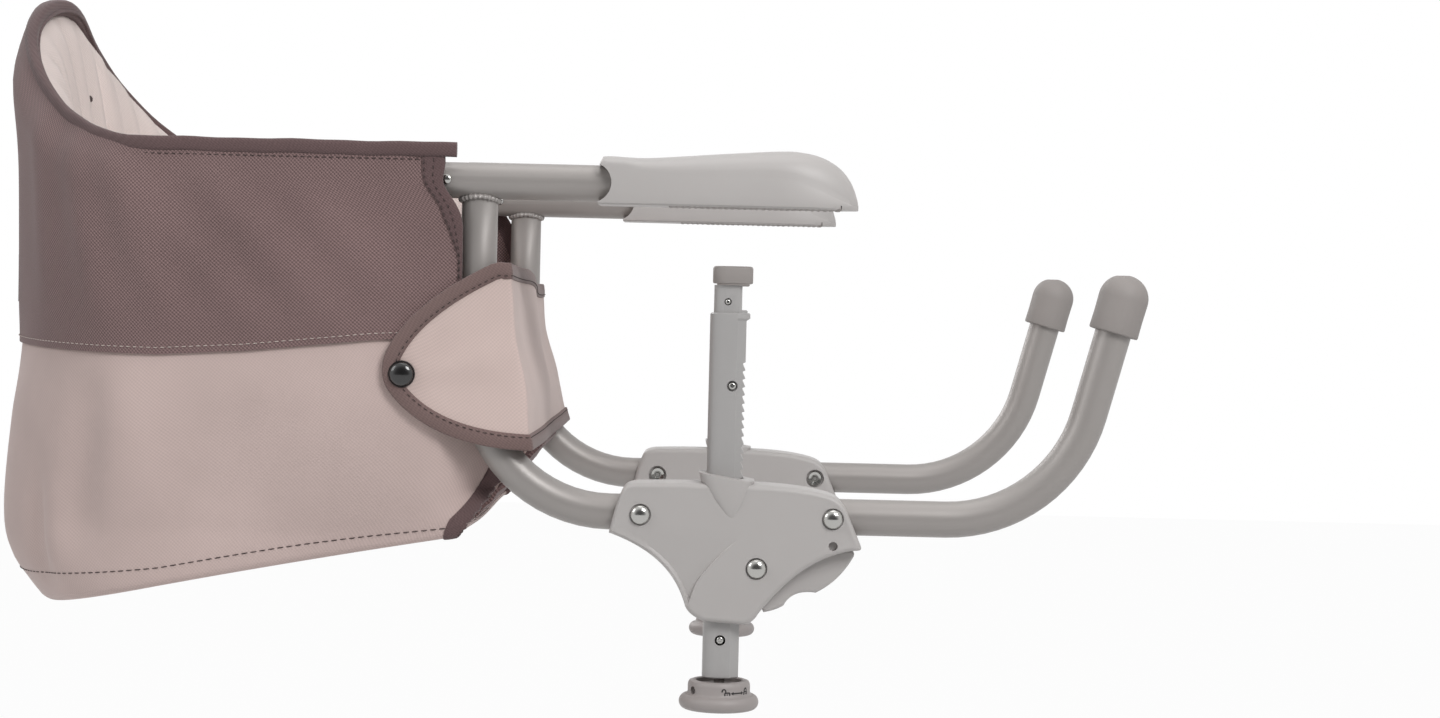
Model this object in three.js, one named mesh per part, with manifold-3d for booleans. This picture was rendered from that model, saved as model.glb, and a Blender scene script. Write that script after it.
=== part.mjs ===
// Hook-on table chair: a fabric bucket seat on a steel tube frame that hangs by its own clamps.
// Millimetres, +X forwards, the way the arms point, +Z up. The origin lies on the plane that the
// arm pads rest on, midway between the arms, level with the front of the upright tubes.
import * as THREE from 'three';
import { mergeVertices } from 'three/addons/utils/BufferGeometryUtils.js';
import Module from 'manifold-3d';

const wasm = await Module();
wasm.setup();

// Frame tubes
const armSpacing = 320;
const tubeDiameter = 20;
const tubeWall = 1.5;
const armHeight = 12.2;
const armRearX = -40;
const armFrontX = 90;
const lowerTubeDrop = 168;
const rearBendRadius = 75;
const frontBendRadius = 80;
const frontCornerX = 311.4;
const frontLeanDegrees = 15;
const tableThickness = 31.5;
const seatingGap = 0.3;

// Back hoop and its pivots
const pivotX = -27.5;
const hoopRearX = -282.4;
const hoopBackDepth = 99.5;
const tongueThickness = 4;
const tongueHeight = 14;
const hoopStart = 14;
const rivetRadius = 2;
const rivetHeadRadius = 2.75;

// Arm pads
const padRearX = 55.6;
const padLength = 142;
const padPeakHeight = 32;
const padRearHeight = 27;
const padHalfWidth = 20;
const padUnderside = 0.4;
const padNotchRadius = 10.8;
const padNotchDepth = 7.1;
const soleLength = 94;
const soleWidth = 26;
const soleThickness = 2.3;

// Rubber caps on the front tubes
const capRadius = 13.7;
const capSkirt = 19.7;
const capFlatDepth = 0.9;

// Clamp hubs
const hubOuterFace = 17;
const hubInnerFace = 15;
const hubBevel = 3;
const rearBoltX = 82.5;
const frontBoltX = 187.5;
const boltShankRadius = 3;
const boltHeadRadius = 5.35;
const boltHeadHeight = 4;
const lightHoleRadius = 2.5;

// Clamp posts
const postX = 128;
const sleeveSize = 20;
const sleeveTopZ = -57;
const sleeveBottomZ = -257.5;
const sleeveChamfer = 5;
const sleeveBackWall = 1.7;
const sleeveFrontWall = 2.5;
const sleeveSideWall = 2.1;
const slidingGap = 0.2;
const lipDepth = 2;
const lipHeight = 3.5;
const rackTopZ = -84;
const rackTeeth = 31;
const toothPitch = 4.5;
const toothDepth = 1.5;
const postBottomZ = -150;
const clampPadSize = 22;
const clampPadHeight = 9.6;
const clampPadOffset = 2;
const screwRadius = 3;
const screwTopZ = -78;
const bushHeight = 17;
const knobHeight = 16;
const knobRimHeight = 8;
const knobRimRadius = 22;
const knobCollarRadius = 17.2;
const knobRecess = 2.5;
const knobGap = 1.8;

// Release levers
const leverPivotX = 146.5;
const leverPivotDrop = 28;
const leverThickness = 12;
const springWire = 1;
const springRadius = 5;
const springTurns = 3;
const springPitch = 1.5;

// Fabric seat
const fabricThickness = 3;
const coverGap = 0.9;
const baseTaper = 11.9;
const layerGap = 2;
const hemZ = -84;
const rimZ = 31.5;
const humpHeight = 92.5;
const humpTaper = 1.2;
const bandFrontX = -31.5;
const linerFrontX = -36;
const linerGap = 1.1;
const linerThickness = 4.7;
const baseFrontX = -24;
const baseFrontZ = -184;
const baseSlope = 0.173;
const basePadThickness = 4;

// Front panel with its side flaps, crotch strap and waist strap
const panelTopZ = -34;
const panelBottomZ = -134;
const panelTopX = 7.7;
const panelBottomX = 21;
const panelThickness = 2.5;
const flapTipX = -58.8;
const flapTipZ = -95;
const snapX = -49;
const snapRadius = 7.4;
const snapHeight = 4.5;
const strapWidth = 90;
const waistStrapWidth = 25;
const waistStrapThickness = 1.5;
const waistStrapZ = -82;
const buckleLength = 46;
const buckleWidth = 32;
const buckleHeight = 12;

const tubeRadius = tubeDiameter / 2;
const sideOffset = armSpacing / 2;
const seatHalfWidth = sideOffset + tubeRadius + coverGap + fabricThickness;
const baseHalfWidth = seatHalfWidth - baseTaper;
const linerInset = fabricThickness + coverGap + tubeDiameter + linerGap;
const lowerZ = -lowerTubeDrop;
const uprightX = -tubeRadius;
const frontLean = THREE.MathUtils.degToRad(frontLeanDegrees);
const leverPivotZ = lowerZ - leverPivotDrop;
const sleeveHalf = sleeveSize / 2;
const postSize = sleeveSize - sleeveBackWall - sleeveFrontWall - 2 * slidingGap;
const postAxisX = postX + (sleeveBackWall - sleeveFrontWall) / 2;
const clampTopZ = -tableThickness;
const postTopZ = clampTopZ - clampPadHeight - seatingGap;
const tubeSides = 12;
const cornerSteps = 7;
const backSteps = 8;

const finishes = {
  tube: { color: 0x98948f, roughness: 0.42, metalness: 0.55 },
  steel: { color: 0xc9c9c6, roughness: 0.2, metalness: 1 },
  plastic: { color: 0xb2b0ad, roughness: 0.55, metalness: 0 },
  post: { color: 0x9d9b98, roughness: 0.5, metalness: 0 },
  rubber: { color: 0x8d8885, roughness: 0.8, metalness: 0 },
  darkFabric: { color: 0x75635f, roughness: 0.95, metalness: 0 },
  paleFabric: { color: 0xb9a8a1, roughness: 0.95, metalness: 0 },
  liner: { color: 0xdbd0cb, roughness: 0.95, metalness: 0 },
  blackPlastic: { color: 0x1b1a19, roughness: 0.25, metalness: 0 },
  foam: { color: 0x57514d, roughness: 0.7, metalness: 0 },
};

const chair = new THREE.Group();
const leftSide = new THREE.Group();
const rightSide = new THREE.Group();
leftSide.position.set(0, sideOffset, 0);
rightSide.position.set(0, -sideOffset, 0);
rightSide.scale.set(1, -1, 1);
chair.add(leftSide, rightSide);

function addPiece(parent, name, geometry, finish) {
  const mesh = new THREE.Mesh(geometry, new THREE.MeshStandardMaterial(finish));
  mesh.name = name;
  parent.add(mesh);
}

// Each side piece is drawn once, with y outwards from the tube plane, and mirrored for the right.
function addPair(name, geometry, finish) {
  addPiece(leftSide, `${name}_left`, geometry, finish);
  addPiece(rightSide, `${name}_right`, geometry, finish);
}

function solidOf(geometry) {
  const bare = new THREE.BufferGeometry();
  bare.setAttribute('position', geometry.getAttribute('position'));
  bare.setIndex(geometry.getIndex());
  const merged = mergeVertices(bare, 1e-3);
  const corners = merged.getIndex().array;
  const triangles = [];
  for (let i = 0; i < corners.length; i += 3) {
    const [a, b, c] = [corners[i], corners[i + 1], corners[i + 2]];
    if (a !== b && b !== c && c !== a) triangles.push(a, b, c);
  }
  const vertProperties = new Float32Array(merged.getAttribute('position').array);
  const triVerts = new Uint32Array(triangles);
  const mesh = new wasm.Mesh({ numProp: 3, vertProperties, triVerts });
  const solid = new wasm.Manifold(mesh);
  if (solid.volume() > 0) return solid;
  for (let i = 0; i < triVerts.length; i += 3) {
    [triVerts[i], triVerts[i + 1]] = [triVerts[i + 1], triVerts[i]];
  }
  return new wasm.Manifold(new wasm.Mesh({ numProp: 3, vertProperties, triVerts }));
}

function geometryOf(solid) {
  const mesh = solid.getMesh();
  const geometry = new THREE.BufferGeometry();
  geometry.setAttribute('position', new THREE.BufferAttribute(mesh.vertProperties, 3));
  geometry.setIndex(new THREE.BufferAttribute(mesh.triVerts, 1));
  geometry.computeVertexNormals();
  return geometry;
}

function cut(geometry, ...tools) {
  let solid = solidOf(geometry);
  for (const tool of tools) solid = solid.subtract(solidOf(tool));
  return geometryOf(solid);
}

function join(...geometries) {
  let solid = solidOf(geometries[0]);
  for (const other of geometries.slice(1)) solid = solid.add(solidOf(other));
  return geometryOf(solid);
}

function common(geometry, keeper) {
  return geometryOf(solidOf(geometry).intersect(solidOf(keeper)));
}

function block(low, high) {
  const size = high.map((value, axis) => value - low[axis]);
  const box = new THREE.BoxGeometry(...size);
  return box.translate(...low.map((value, axis) => value + size[axis] / 2));
}

function roundBarY(x, z, radius, lowY, highY, sides = 12) {
  const bar = new THREE.CylinderGeometry(radius, radius, highY - lowY, sides);
  return bar.translate(x, (lowY + highY) / 2, z);
}

function roundBarX(z, radius, lowX, highX, sides = 20) {
  const bar = new THREE.CylinderGeometry(radius, radius, highX - lowX, sides);
  return bar.rotateZ(Math.PI / 2).translate((lowX + highX) / 2, 0, z);
}

function roundBarZ(x, radius, lowZ, highZ, sides = 16) {
  const bar = new THREE.CylinderGeometry(radius, radius, highZ - lowZ, sides);
  return bar.rotateX(Math.PI / 2).translate(x, 0, (lowZ + highZ) / 2);
}

// A turned piece from its profile of [radius, height] points, about a vertical axis.
function turned(profile, sides) {
  const points = profile.map(([radius, height]) => new THREE.Vector2(radius, height));
  return geometryOf(solidOf(new THREE.LatheGeometry(points, sides).rotateX(Math.PI / 2)));
}

// A plate from an outline in the side view (x, z), between two distances from the tube plane.
function sidePlate(outline, lowY, highY, bevel = 0) {
  const plate = new THREE.ExtrudeGeometry(outline, {
    depth: highY - lowY - 2 * bevel,
    bevelEnabled: bevel > 0,
    bevelThickness: bevel,
    bevelSize: bevel,
    bevelOffset: -bevel,
    bevelSegments: 1,
    curveSegments: 5,
  });
  return plate.rotateX(Math.PI / 2).translate(0, highY - bevel, 0);
}

function outlineOf(points) {
  return new THREE.Shape(points.map(([x, z]) => new THREE.Vector2(x, z)));
}

// A tube's route: the points and directions of its stations, which lie only where it turns.
class TubeRoute extends THREE.Curve {
  constructor(stations) {
    super();
    this.stations = stations;
  }

  stationAt(u) {
    return this.stations[Math.round(u * (this.stations.length - 1))];
  }

  getPointAt(u, target = new THREE.Vector3()) {
    return target.copy(this.stationAt(u).point);
  }

  getTangentAt(u, target = new THREE.Vector3()) {
    return target.copy(this.stationAt(u).tangent);
  }
}

// Stations of straight runs that meet in round corners of one radius.
function corneredStations(corners, radius) {
  const points = corners.map((corner) => new THREE.Vector3(...corner));
  const first = points[1].clone().sub(points[0]).normalize();
  const stations = [{ point: points[0], tangent: first }];
  for (let i = 1; i < points.length - 1; i += 1) {
    const arriving = points[i].clone().sub(points[i - 1]).normalize();
    const leaving = points[i + 1].clone().sub(points[i]).normalize();
    const turn = arriving.angleTo(leaving);
    const axis = arriving.clone().cross(leaving).normalize();
    const inward = axis.clone().cross(arriving);
    const start = points[i].clone().addScaledVector(arriving, -radius * Math.tan(turn / 2));
    const centre = start.clone().addScaledVector(inward, radius);
    for (let step = 0; step <= cornerSteps; step += 1) {
      const angle = (turn * step) / cornerSteps;
      const spoke = start.clone().sub(centre).applyAxisAngle(axis, angle);
      const tangent = arriving.clone().applyAxisAngle(axis, angle);
      stations.push({ point: centre.clone().add(spoke), tangent });
    }
  }
  const last = points[points.length - 1];
  const end = last.clone().sub(points[points.length - 2]).normalize();
  stations.push({ point: last, tangent: end });
  return stations;
}

function tubeAlong(stations) {
  const ring = new THREE.Shape();
  ring.absarc(0, 0, tubeRadius, 0, Math.PI * 2);
  const bore = new THREE.Path();
  bore.absarc(0, 0, tubeRadius - tubeWall, 0, Math.PI * 2);
  ring.holes.push(bore);
  return new THREE.ExtrudeGeometry(ring, {
    extrudePath: new TubeRoute(stations),
    steps: stations.length - 1,
    curveSegments: tubeSides / 2,
  });
}

function bentTube(corners, radius) {
  return tubeAlong(corneredStations(corners, radius));
}

// Upper arms: the rear end is slotted on top, so the hoop's tongue can swing up on the rivet and
// the closed underside carries it in use.
const slotHalf = tongueThickness / 2 + seatingGap;
const slotFrontX = pivotX + tongueHeight / 2 + 4;
const armTube = cut(
  bentTube([[armRearX, 0, armHeight], [armFrontX, 0, armHeight]], 0),
  block([armRearX - 1, -slotHalf, armHeight], [slotFrontX, slotHalf, armHeight + tubeDiameter]),
  roundBarY(pivotX, armHeight, rivetRadius + seatingGap, -tubeDiameter, tubeDiameter),
);
addPair('arm_tube', armTube, finishes.tube);

// Upright and rear lower tube in one bend, coped to the arm above and bolted in the hub below.
const rearTubeEndX = postX - sleeveHalf - 4;
const rearTube = cut(
  bentTube(
    [[uprightX, 0, armHeight], [uprightX, 0, lowerZ], [rearTubeEndX, 0, lowerZ]],
    rearBendRadius,
  ),
  roundBarX(armHeight, tubeRadius + seatingGap, armRearX, armFrontX),
  roundBarY(rearBoltX, lowerZ, boltShankRadius + seatingGap, -tubeDiameter, tubeDiameter),
);
addPair('rear_tube', rearTube, finishes.tube);

// Front lower tube, leaning forwards as it rises to its cap.
const capCentreZ = clampTopZ - capRadius + capFlatDepth;
const capCentreReach = (capCentreZ - lowerZ) / Math.cos(frontLean);
const capBoreDepth = capSkirt - 2;
const capBaseReach = capCentreReach - capSkirt;
const frontTubeReach = capBaseReach + capBoreDepth - seatingGap;
const frontTubeStartX = leverPivotX - 0.5;
function alongFrontTube(reach) {
  const x = frontCornerX + reach * Math.sin(frontLean);
  return [x, 0, lowerZ + reach * Math.cos(frontLean)];
}
const frontTube = cut(
  bentTube(
    [[frontTubeStartX, 0, lowerZ], [frontCornerX, 0, lowerZ], alongFrontTube(frontTubeReach)],
    frontBendRadius,
  ),
  roundBarY(frontBoltX, lowerZ, boltShankRadius + seatingGap, -tubeDiameter, tubeDiameter),
);
addPair('front_tube', frontTube, finishes.tube);

// Domed rubber cap, cut flat on top at the height where the clamp pads grip.
const capBore = tubeRadius + seatingGap;
const capProfile = [[0, capBoreDepth], [capBore, capBoreDepth], [capBore, 0], [capRadius - 0.8, 0]];
capProfile.push([capRadius, 1.2]);
const domeSteps = 5;
for (let step = 0; step <= domeSteps; step += 1) {
  const angle = (Math.PI / 2) * (step / domeSteps);
  capProfile.push([capRadius * Math.cos(angle), capSkirt + capRadius * Math.sin(angle)]);
}
capProfile[capProfile.length - 1][0] = 0;
const capPlaced = turned(capProfile, 16).rotateY(frontLean).translate(...alongFrontTube(capBaseReach));
const aboveTable = block(
  [frontCornerX, -2 * capRadius, clampTopZ],
  [frontCornerX + lowerTubeDrop, 2 * capRadius, clampTopZ + 2 * capRadius],
);
addPair('tube_cap', cut(capPlaced, aboveTable), finishes.rubber);

// Arm pad: a moulded paddle lofted along X, with a socket for the tube and a notch behind it.
const padCrown = new THREE.SplineCurve([
  new THREE.Vector2(padRearX, padRearHeight - 3),
  new THREE.Vector2(padRearX + 4, padRearHeight),
  new THREE.Vector2(padRearX + 24, padRearHeight - 0.4),
  new THREE.Vector2(padRearX + 70, padRearHeight + (padPeakHeight - padRearHeight) * 0.6),
  new THREE.Vector2(padRearX + padLength * 0.7, padPeakHeight),
  new THREE.Vector2(padRearX + padLength - 19, padPeakHeight * 0.9),
  new THREE.Vector2(padRearX + padLength - 6, padPeakHeight * 0.6),
  new THREE.Vector2(padRearX + padLength, padUnderside + 3),
]);
const padStations = 13;
const padSides = 16;
const padRings = [];
for (let station = 0; station <= padStations; station += 1) {
  const { x, y: crown } = padCrown.getPoint(station / padStations);
  const share = (x - padRearX) / padLength;
  const noseTaper = Math.sqrt(Math.max(0.12, 1 - Math.max(0, (share - 0.72) / 0.3) ** 2));
  const half = padHalfWidth * (0.8 + 0.2 * Math.sin(Math.PI * Math.min(share, 0.6))) * noseTaper;
  const middle = (crown + padUnderside) / 2;
  const rise = (crown - padUnderside) / 2;
  const ring = [];
  for (let side = 0; side < padSides; side += 1) {
    const angle = (2 * Math.PI * (side + 0.5)) / padSides;
    const across = Math.sign(Math.cos(angle)) * Math.abs(Math.cos(angle)) ** 0.55;
    const up = Math.sign(Math.sin(angle)) * Math.abs(Math.sin(angle)) ** 0.55;
    ring.push([x, half * across, middle + rise * up]);
  }
  padRings.push(ring);
}

// A closed solid through rings of points, whose end rings are filled from their middle.
function lofted(rings) {
  const count = rings[0].length;
  const points = rings.flat(2);
  const triangles = [];
  for (let ring = 0; ring < rings.length - 1; ring += 1) {
    for (let i = 0; i < count; i += 1) {
      const next = (i + 1) % count;
      const [a, b] = [ring * count + i, ring * count + next];
      triangles.push(a, b, a + count, b, b + count, a + count);
    }
  }
  for (const [ring, base] of [[rings[0], 0], [rings[rings.length - 1], (rings.length - 1) * count]]) {
    const middle = [0, 1, 2].map((axis) => ring.reduce((sum, p) => sum + p[axis], 0) / count);
    const centre = points.length / 3;
    points.push(...middle);
    for (let i = 0; i < count; i += 1) {
      const [a, b] = [base + i, base + ((i + 1) % count)];
      if (base === 0) triangles.push(b, a, centre);
      else triangles.push(a, b, centre);
    }
  }
  const geometry = new THREE.BufferGeometry();
  geometry.setAttribute('position', new THREE.Float32BufferAttribute(points, 3));
  geometry.setIndex(triangles);
  return geometry;
}

const soleRearX = armFrontX + 4;
const notchX = padRearX + padNotchDepth - padNotchRadius;
const solePocket = block(
  [soleRearX - seatingGap, -soleWidth / 2 - seatingGap, -5],
  [soleRearX + soleLength + seatingGap, soleWidth / 2 + seatingGap, soleThickness + seatingGap],
);
const armPad = cut(
  lofted(padRings),
  roundBarX(armHeight, tubeRadius + seatingGap, padRearX - 5, armFrontX + seatingGap),
  roundBarY(notchX, armHeight, padNotchRadius, -padHalfWidth * 2, padHalfWidth * 2, 24),
  solePocket,
);
addPair('arm_pad', armPad, finishes.plastic);

const padSole = block(
  [soleRearX, -soleWidth / 2, 0],
  [soleRearX + soleLength, soleWidth / 2, soleThickness],
);
addPair('arm_pad_sole', padSole, finishes.rubber);

// Section of the clamp sleeve, seen from above: a round back and a chamfered front.
function postSection(centreX, depth, width, chamfer) {
  const [halfDepth, halfWidth] = [depth / 2, width / 2];
  const round = Math.min(halfDepth, halfWidth) * 0.7;
  const section = new THREE.Shape();
  section.moveTo(centreX + halfDepth, -halfWidth + chamfer);
  section.lineTo(centreX + halfDepth, halfWidth - chamfer);
  section.lineTo(centreX + halfDepth - chamfer, halfWidth);
  section.lineTo(centreX - halfDepth + round, halfWidth);
  section.absarc(centreX - halfDepth + round, halfWidth - round, round, Math.PI / 2, Math.PI);
  section.absarc(centreX - halfDepth + round, -halfWidth + round, round, Math.PI, Math.PI * 1.5);
  section.lineTo(centreX + halfDepth - chamfer, -halfWidth);
  return section;
}

function upright(section, lowZ, highZ) {
  const options = { depth: highZ - lowZ, bevelEnabled: false, curveSegments: 4 };
  return new THREE.ExtrudeGeometry(section, options).translate(0, 0, lowZ);
}

// Hub outline in the side view, set from its bolts, the lower tube and the foot round the sleeve.
const hubFootZ = lowerZ - 59;
const hubTopZ = lowerZ + 17.7;
const hubWing = [rearBoltX - 17, lowerZ - 10.4];
const hubOutline = new THREE.Shape();
hubOutline.moveTo(...hubWing);
hubOutline.lineTo(rearBoltX - 10, hubTopZ - 4);
hubOutline.quadraticCurveTo(rearBoltX - 8.5, hubTopZ - 1.2, rearBoltX - 2, hubTopZ - 0.6);
hubOutline.lineTo(postX - 13, hubTopZ);
hubOutline.lineTo(postX + 15, hubTopZ);
hubOutline.quadraticCurveTo(frontBoltX - 16, hubTopZ - 0.5, frontBoltX - 1, hubTopZ - 5.2);
hubOutline.quadraticCurveTo(frontBoltX + 5, hubTopZ - 7.4, frontBoltX + 7.5, hubTopZ - 13);
hubOutline.lineTo(frontBoltX + 16.6, lowerZ - 16.3);
hubOutline.lineTo(frontBoltX + 10, lowerZ - 17.4);
hubOutline.bezierCurveTo(frontBoltX - 8, lowerZ - 21, postX + 36, hubFootZ + 27, postX + 20, hubFootZ + 6);
hubOutline.quadraticCurveTo(postX + 17, hubFootZ + 0.5, postX + 12, hubFootZ);
hubOutline.lineTo(postX - 10, hubFootZ + 1.5);
hubOutline.quadraticCurveTo(postX - 19, hubFootZ + 5, postX - 20.3, hubFootZ + 10.7);
hubOutline.bezierCurveTo(postX - 25, lowerZ - 34, rearBoltX + 11, lowerZ - 20, ...hubWing);

// Shield-shaped collar that guides the sleeve into the hub's top.
const collarOutline = outlineOf([
  [postX - 14, hubTopZ + 6],
  [postX + 14.3, hubTopZ + 1.7],
  [postX + 14, hubTopZ - 5],
  [postX + 6.7, hubTopZ - 19],
  [postX - 10, hubTopZ - 6],
]);
const collarProud = 1.6;
const pinClear = boltShankRadius + seatingGap;

// Lever: an eye on the pivot, a pawl nose at the rack and a paddle with a finger scallop below.
const pawlGap = 0.4;
const leverEye = 7;
const noseX = postX + sleeveHalf + pawlGap;
const leverOutline = new THREE.Shape();
leverOutline.moveTo(noseX, leverPivotZ - 6.5);
leverOutline.lineTo(noseX, leverPivotZ - 9.5);
leverOutline.lineTo(leverPivotX - 1, leverPivotZ - 13);
leverOutline.lineTo(leverPivotX + 4.5, leverPivotZ - 25);
leverOutline.quadraticCurveTo(leverPivotX + 11, leverPivotZ - 24, leverPivotX + 15.5, leverPivotZ - 21);
leverOutline.quadraticCurveTo(leverPivotX + 20, leverPivotZ - 12, leverPivotX + 33, leverPivotZ - 13.6);
leverOutline.quadraticCurveTo(leverPivotX + 46, leverPivotZ - 7, leverPivotX + 53, leverPivotZ + 6);
leverOutline.lineTo(leverPivotX + 49, leverPivotZ + 7);
leverOutline.quadraticCurveTo(leverPivotX + 25, leverPivotZ + 1, leverPivotX + 5, leverPivotZ + 5);
leverOutline.quadraticCurveTo(leverPivotX, leverPivotZ + 9, leverPivotX - 5, leverPivotZ + 5);
const leverPlate = sidePlate(leverOutline, -leverThickness / 2, leverThickness / 2, 1);
const leverEyeHole = roundBarY(leverPivotX, leverPivotZ, pinClear, -leverThickness, leverThickness);
addPair('release_lever', cut(leverPlate, leverEyeHole), finishes.plastic);

// Room inside the hub for the lever at rest and squeezed, open below and in front.
const leverRoomHalf = leverThickness / 2 + 0.6;
const leverRoomTop = lowerZ - tubeRadius - 1;
const leverRoom = sidePlate(
  outlineOf([
    [noseX - pawlGap - 2, leverPivotZ - leverEye - 8],
    [noseX - pawlGap - 2, leverPivotZ + leverEye + 3],
    [leverPivotX + leverEye + 3, leverRoomTop],
    [frontBoltX + 30, leverRoomTop],
    [frontBoltX + 30, hubFootZ + 10],
    [leverPivotX + 2, hubFootZ - 1],
    [leverPivotX - 2, hubFootZ + 14],
  ]),
  -leverRoomHalf,
  leverRoomHalf,
);

const sleeveClear = sleeveSize + 2 * seatingGap;
const sleeveRoom = upright(
  postSection(postX, sleeveClear, sleeveClear, sleeveChamfer),
  hubFootZ - 20,
  hubTopZ + 20,
);
const springRoomDepth = springTurns * springPitch + springWire + 1.2;
const boltPlaces = [
  ['rear_hub_bolt', rearBoltX, lowerZ],
  ['front_hub_bolt', frontBoltX, lowerZ],
  ['lever_pivot_bolt', leverPivotX, leverPivotZ],
];
const headRoom = boltHeadRadius + 0.6;
const headSeat = 1.2;
const nutSeat = 3;
const hubCutters = [
  roundBarX(lowerZ, tubeRadius + seatingGap, rearBoltX - 60, rearTubeEndX + seatingGap),
  roundBarX(lowerZ, tubeRadius + seatingGap, frontTubeStartX - seatingGap, frontBoltX + 60),
  sleeveRoom,
  leverRoom,
  roundBarY(leverPivotX, leverPivotZ, springRadius + 2, 0, leverRoomHalf + springRoomDepth),
  roundBarY(frontBoltX + 0.5, lowerZ - 14.5, lightHoleRadius, hubOuterFace - 5, hubOuterFace + 5),
];
for (const [, x, z] of boltPlaces) {
  hubCutters.push(roundBarY(x, z, pinClear, -hubInnerFace * 2, hubOuterFace * 2));
  hubCutters.push(roundBarY(x, z, headRoom, hubOuterFace - headSeat, hubOuterFace * 2));
  hubCutters.push(roundBarY(x, z, headRoom, -hubInnerFace * 2, nutSeat - hubInnerFace));
}
const hubSolid = cut(
  join(
    sidePlate(hubOutline, -hubInnerFace, hubOuterFace, hubBevel),
    sidePlate(collarOutline, -hubInnerFace, hubOuterFace + collarProud, 1),
  ),
  ...hubCutters,
);
const partingGap = seatingGap / 2;
const outerHalf = block([0, partingGap, 2 * lowerZ], [frontCornerX, 2 * hubOuterFace, 0]);
const innerHalf = block([0, -2 * hubInnerFace, 2 * lowerZ], [frontCornerX, -partingGap, 0]);
addPair('hub_outer_shell', common(hubSolid, outerHalf), finishes.plastic);
addPair('hub_inner_shell', common(hubSolid, innerHalf), finishes.plastic);

// Domed bolts through the hub, each with its flat nut end sunk in the inner face.
function domedBolt(headY, endY) {
  const dome = [[0, endY], [boltHeadRadius * 0.85, endY], [boltHeadRadius * 0.85, endY + nutSeat - 1]];
  dome.push([boltShankRadius, endY + nutSeat - 1], [boltShankRadius, headY], [boltHeadRadius, headY]);
  const rimHeight = boltHeadHeight * 0.3;
  const steps = 3;
  for (let step = 0; step <= steps; step += 1) {
    const angle = (Math.PI / 2) * (step / steps);
    const height = headY + rimHeight + (boltHeadHeight - rimHeight) * Math.sin(angle);
    dome.push([step === steps ? 0 : boltHeadRadius * Math.cos(angle), height]);
  }
  return turned(dome, 12).rotateX(-Math.PI / 2);
}
const boltHeadY = hubOuterFace - headSeat + seatingGap;
const boltEndY = -hubInnerFace + 0.5;
for (const [name, x, z] of boltPlaces) {
  addPair(name, domedBolt(boltHeadY, boltEndY).translate(x, 0, z), finishes.steel);
}

// Return spring of the lever: one wire wound round the pivot, beside the lever.
const wireSides = 5;
const stepsPerTurn = 8;
const springStartY = leverRoomHalf + 0.6 + springWire / 2;
const springRings = [];
const springLine = [];
for (let step = 0; step <= springTurns * stepsPerTurn; step += 1) {
  const angle = (2 * Math.PI * step) / stepsPerTurn;
  const along = springStartY + (springPitch * step) / stepsPerTurn;
  springLine.push(new THREE.Vector3(Math.cos(angle) * springRadius, along, Math.sin(angle) * springRadius));
  const ring = [];
  for (let side = 0; side < wireSides; side += 1) {
    const turn = (2 * Math.PI * side) / wireSides;
    const reach = springRadius + (springWire / 2) * Math.cos(turn);
    const lift = (springWire / 2) * Math.sin(turn);
    ring.push([reach * Math.cos(angle), along + lift, reach * Math.sin(angle)]);
  }
  springRings.push(ring);
}
let springGap = Infinity;
for (let i = 0; i < springLine.length; i += 1) {
  for (let j = i + stepsPerTurn / 2; j < springLine.length; j += 1) {
    springGap = Math.min(springGap, springLine[i].distanceTo(springLine[j]) - springWire);
  }
}
console.log(`lever spring: least gap to itself ${springGap.toFixed(2)} mm`);
const leverSpring = geometryOf(solidOf(lofted(springRings))).translate(leverPivotX, 0, leverPivotZ);
addPair('lever_spring', leverSpring, finishes.steel);

// Clamp sleeve: a square tube with a lip at its top and saw teeth down its front.
const frontX = postX + sleeveHalf;
const cavityWidth = sleeveSize - 2 * sleeveSideWall;
const cavityDepth = postSize + 2 * slidingGap;
const cavityChamfer = 1.5;
const comb = [[frontX + 3, rackTopZ + 1], [frontX, rackTopZ]];
for (let tooth = 0; tooth < rackTeeth; tooth += 1) {
  const shoulder = rackTopZ - tooth * toothPitch;
  comb.push([frontX - toothDepth, shoulder - 0.3], [frontX, shoulder - toothPitch]);
}
comb.push([frontX + 3, rackTopZ - rackTeeth * toothPitch - 1]);
const guideScrewZ = -97;
const bushScrewZ = sleeveBottomZ + 21;
const postScrewZ = sleeveTopZ + 6;
const sleeveScrewRadius = 2.4;
const postScrewRadius = 1.8;
const guideScrewX = postX + 3;
const sleeveWallHole = [sleeveHalf - sleeveSideWall - 1, sleeveHalf + 1];
const sleeve = cut(
  join(
    upright(postSection(postX, sleeveSize, sleeveSize, sleeveChamfer), sleeveBottomZ, sleeveTopZ),
    block(
      [postX, -sleeveHalf + sleeveChamfer, sleeveTopZ - lipHeight],
      [frontX + lipDepth, sleeveHalf - sleeveChamfer, sleeveTopZ],
    ),
  ),
  upright(
    postSection(postAxisX, cavityDepth, cavityWidth, cavityChamfer),
    sleeveBottomZ - 1,
    sleeveTopZ + 1,
  ),
  sidePlate(outlineOf(comb), -sleeveHalf, sleeveHalf),
  roundBarY(guideScrewX, guideScrewZ, sleeveScrewRadius + seatingGap, ...sleeveWallHole),
  roundBarY(postAxisX, bushScrewZ, sleeveScrewRadius + seatingGap, ...sleeveWallHole),
);
addPair('clamp_sleeve', sleeve, finishes.post);

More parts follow.
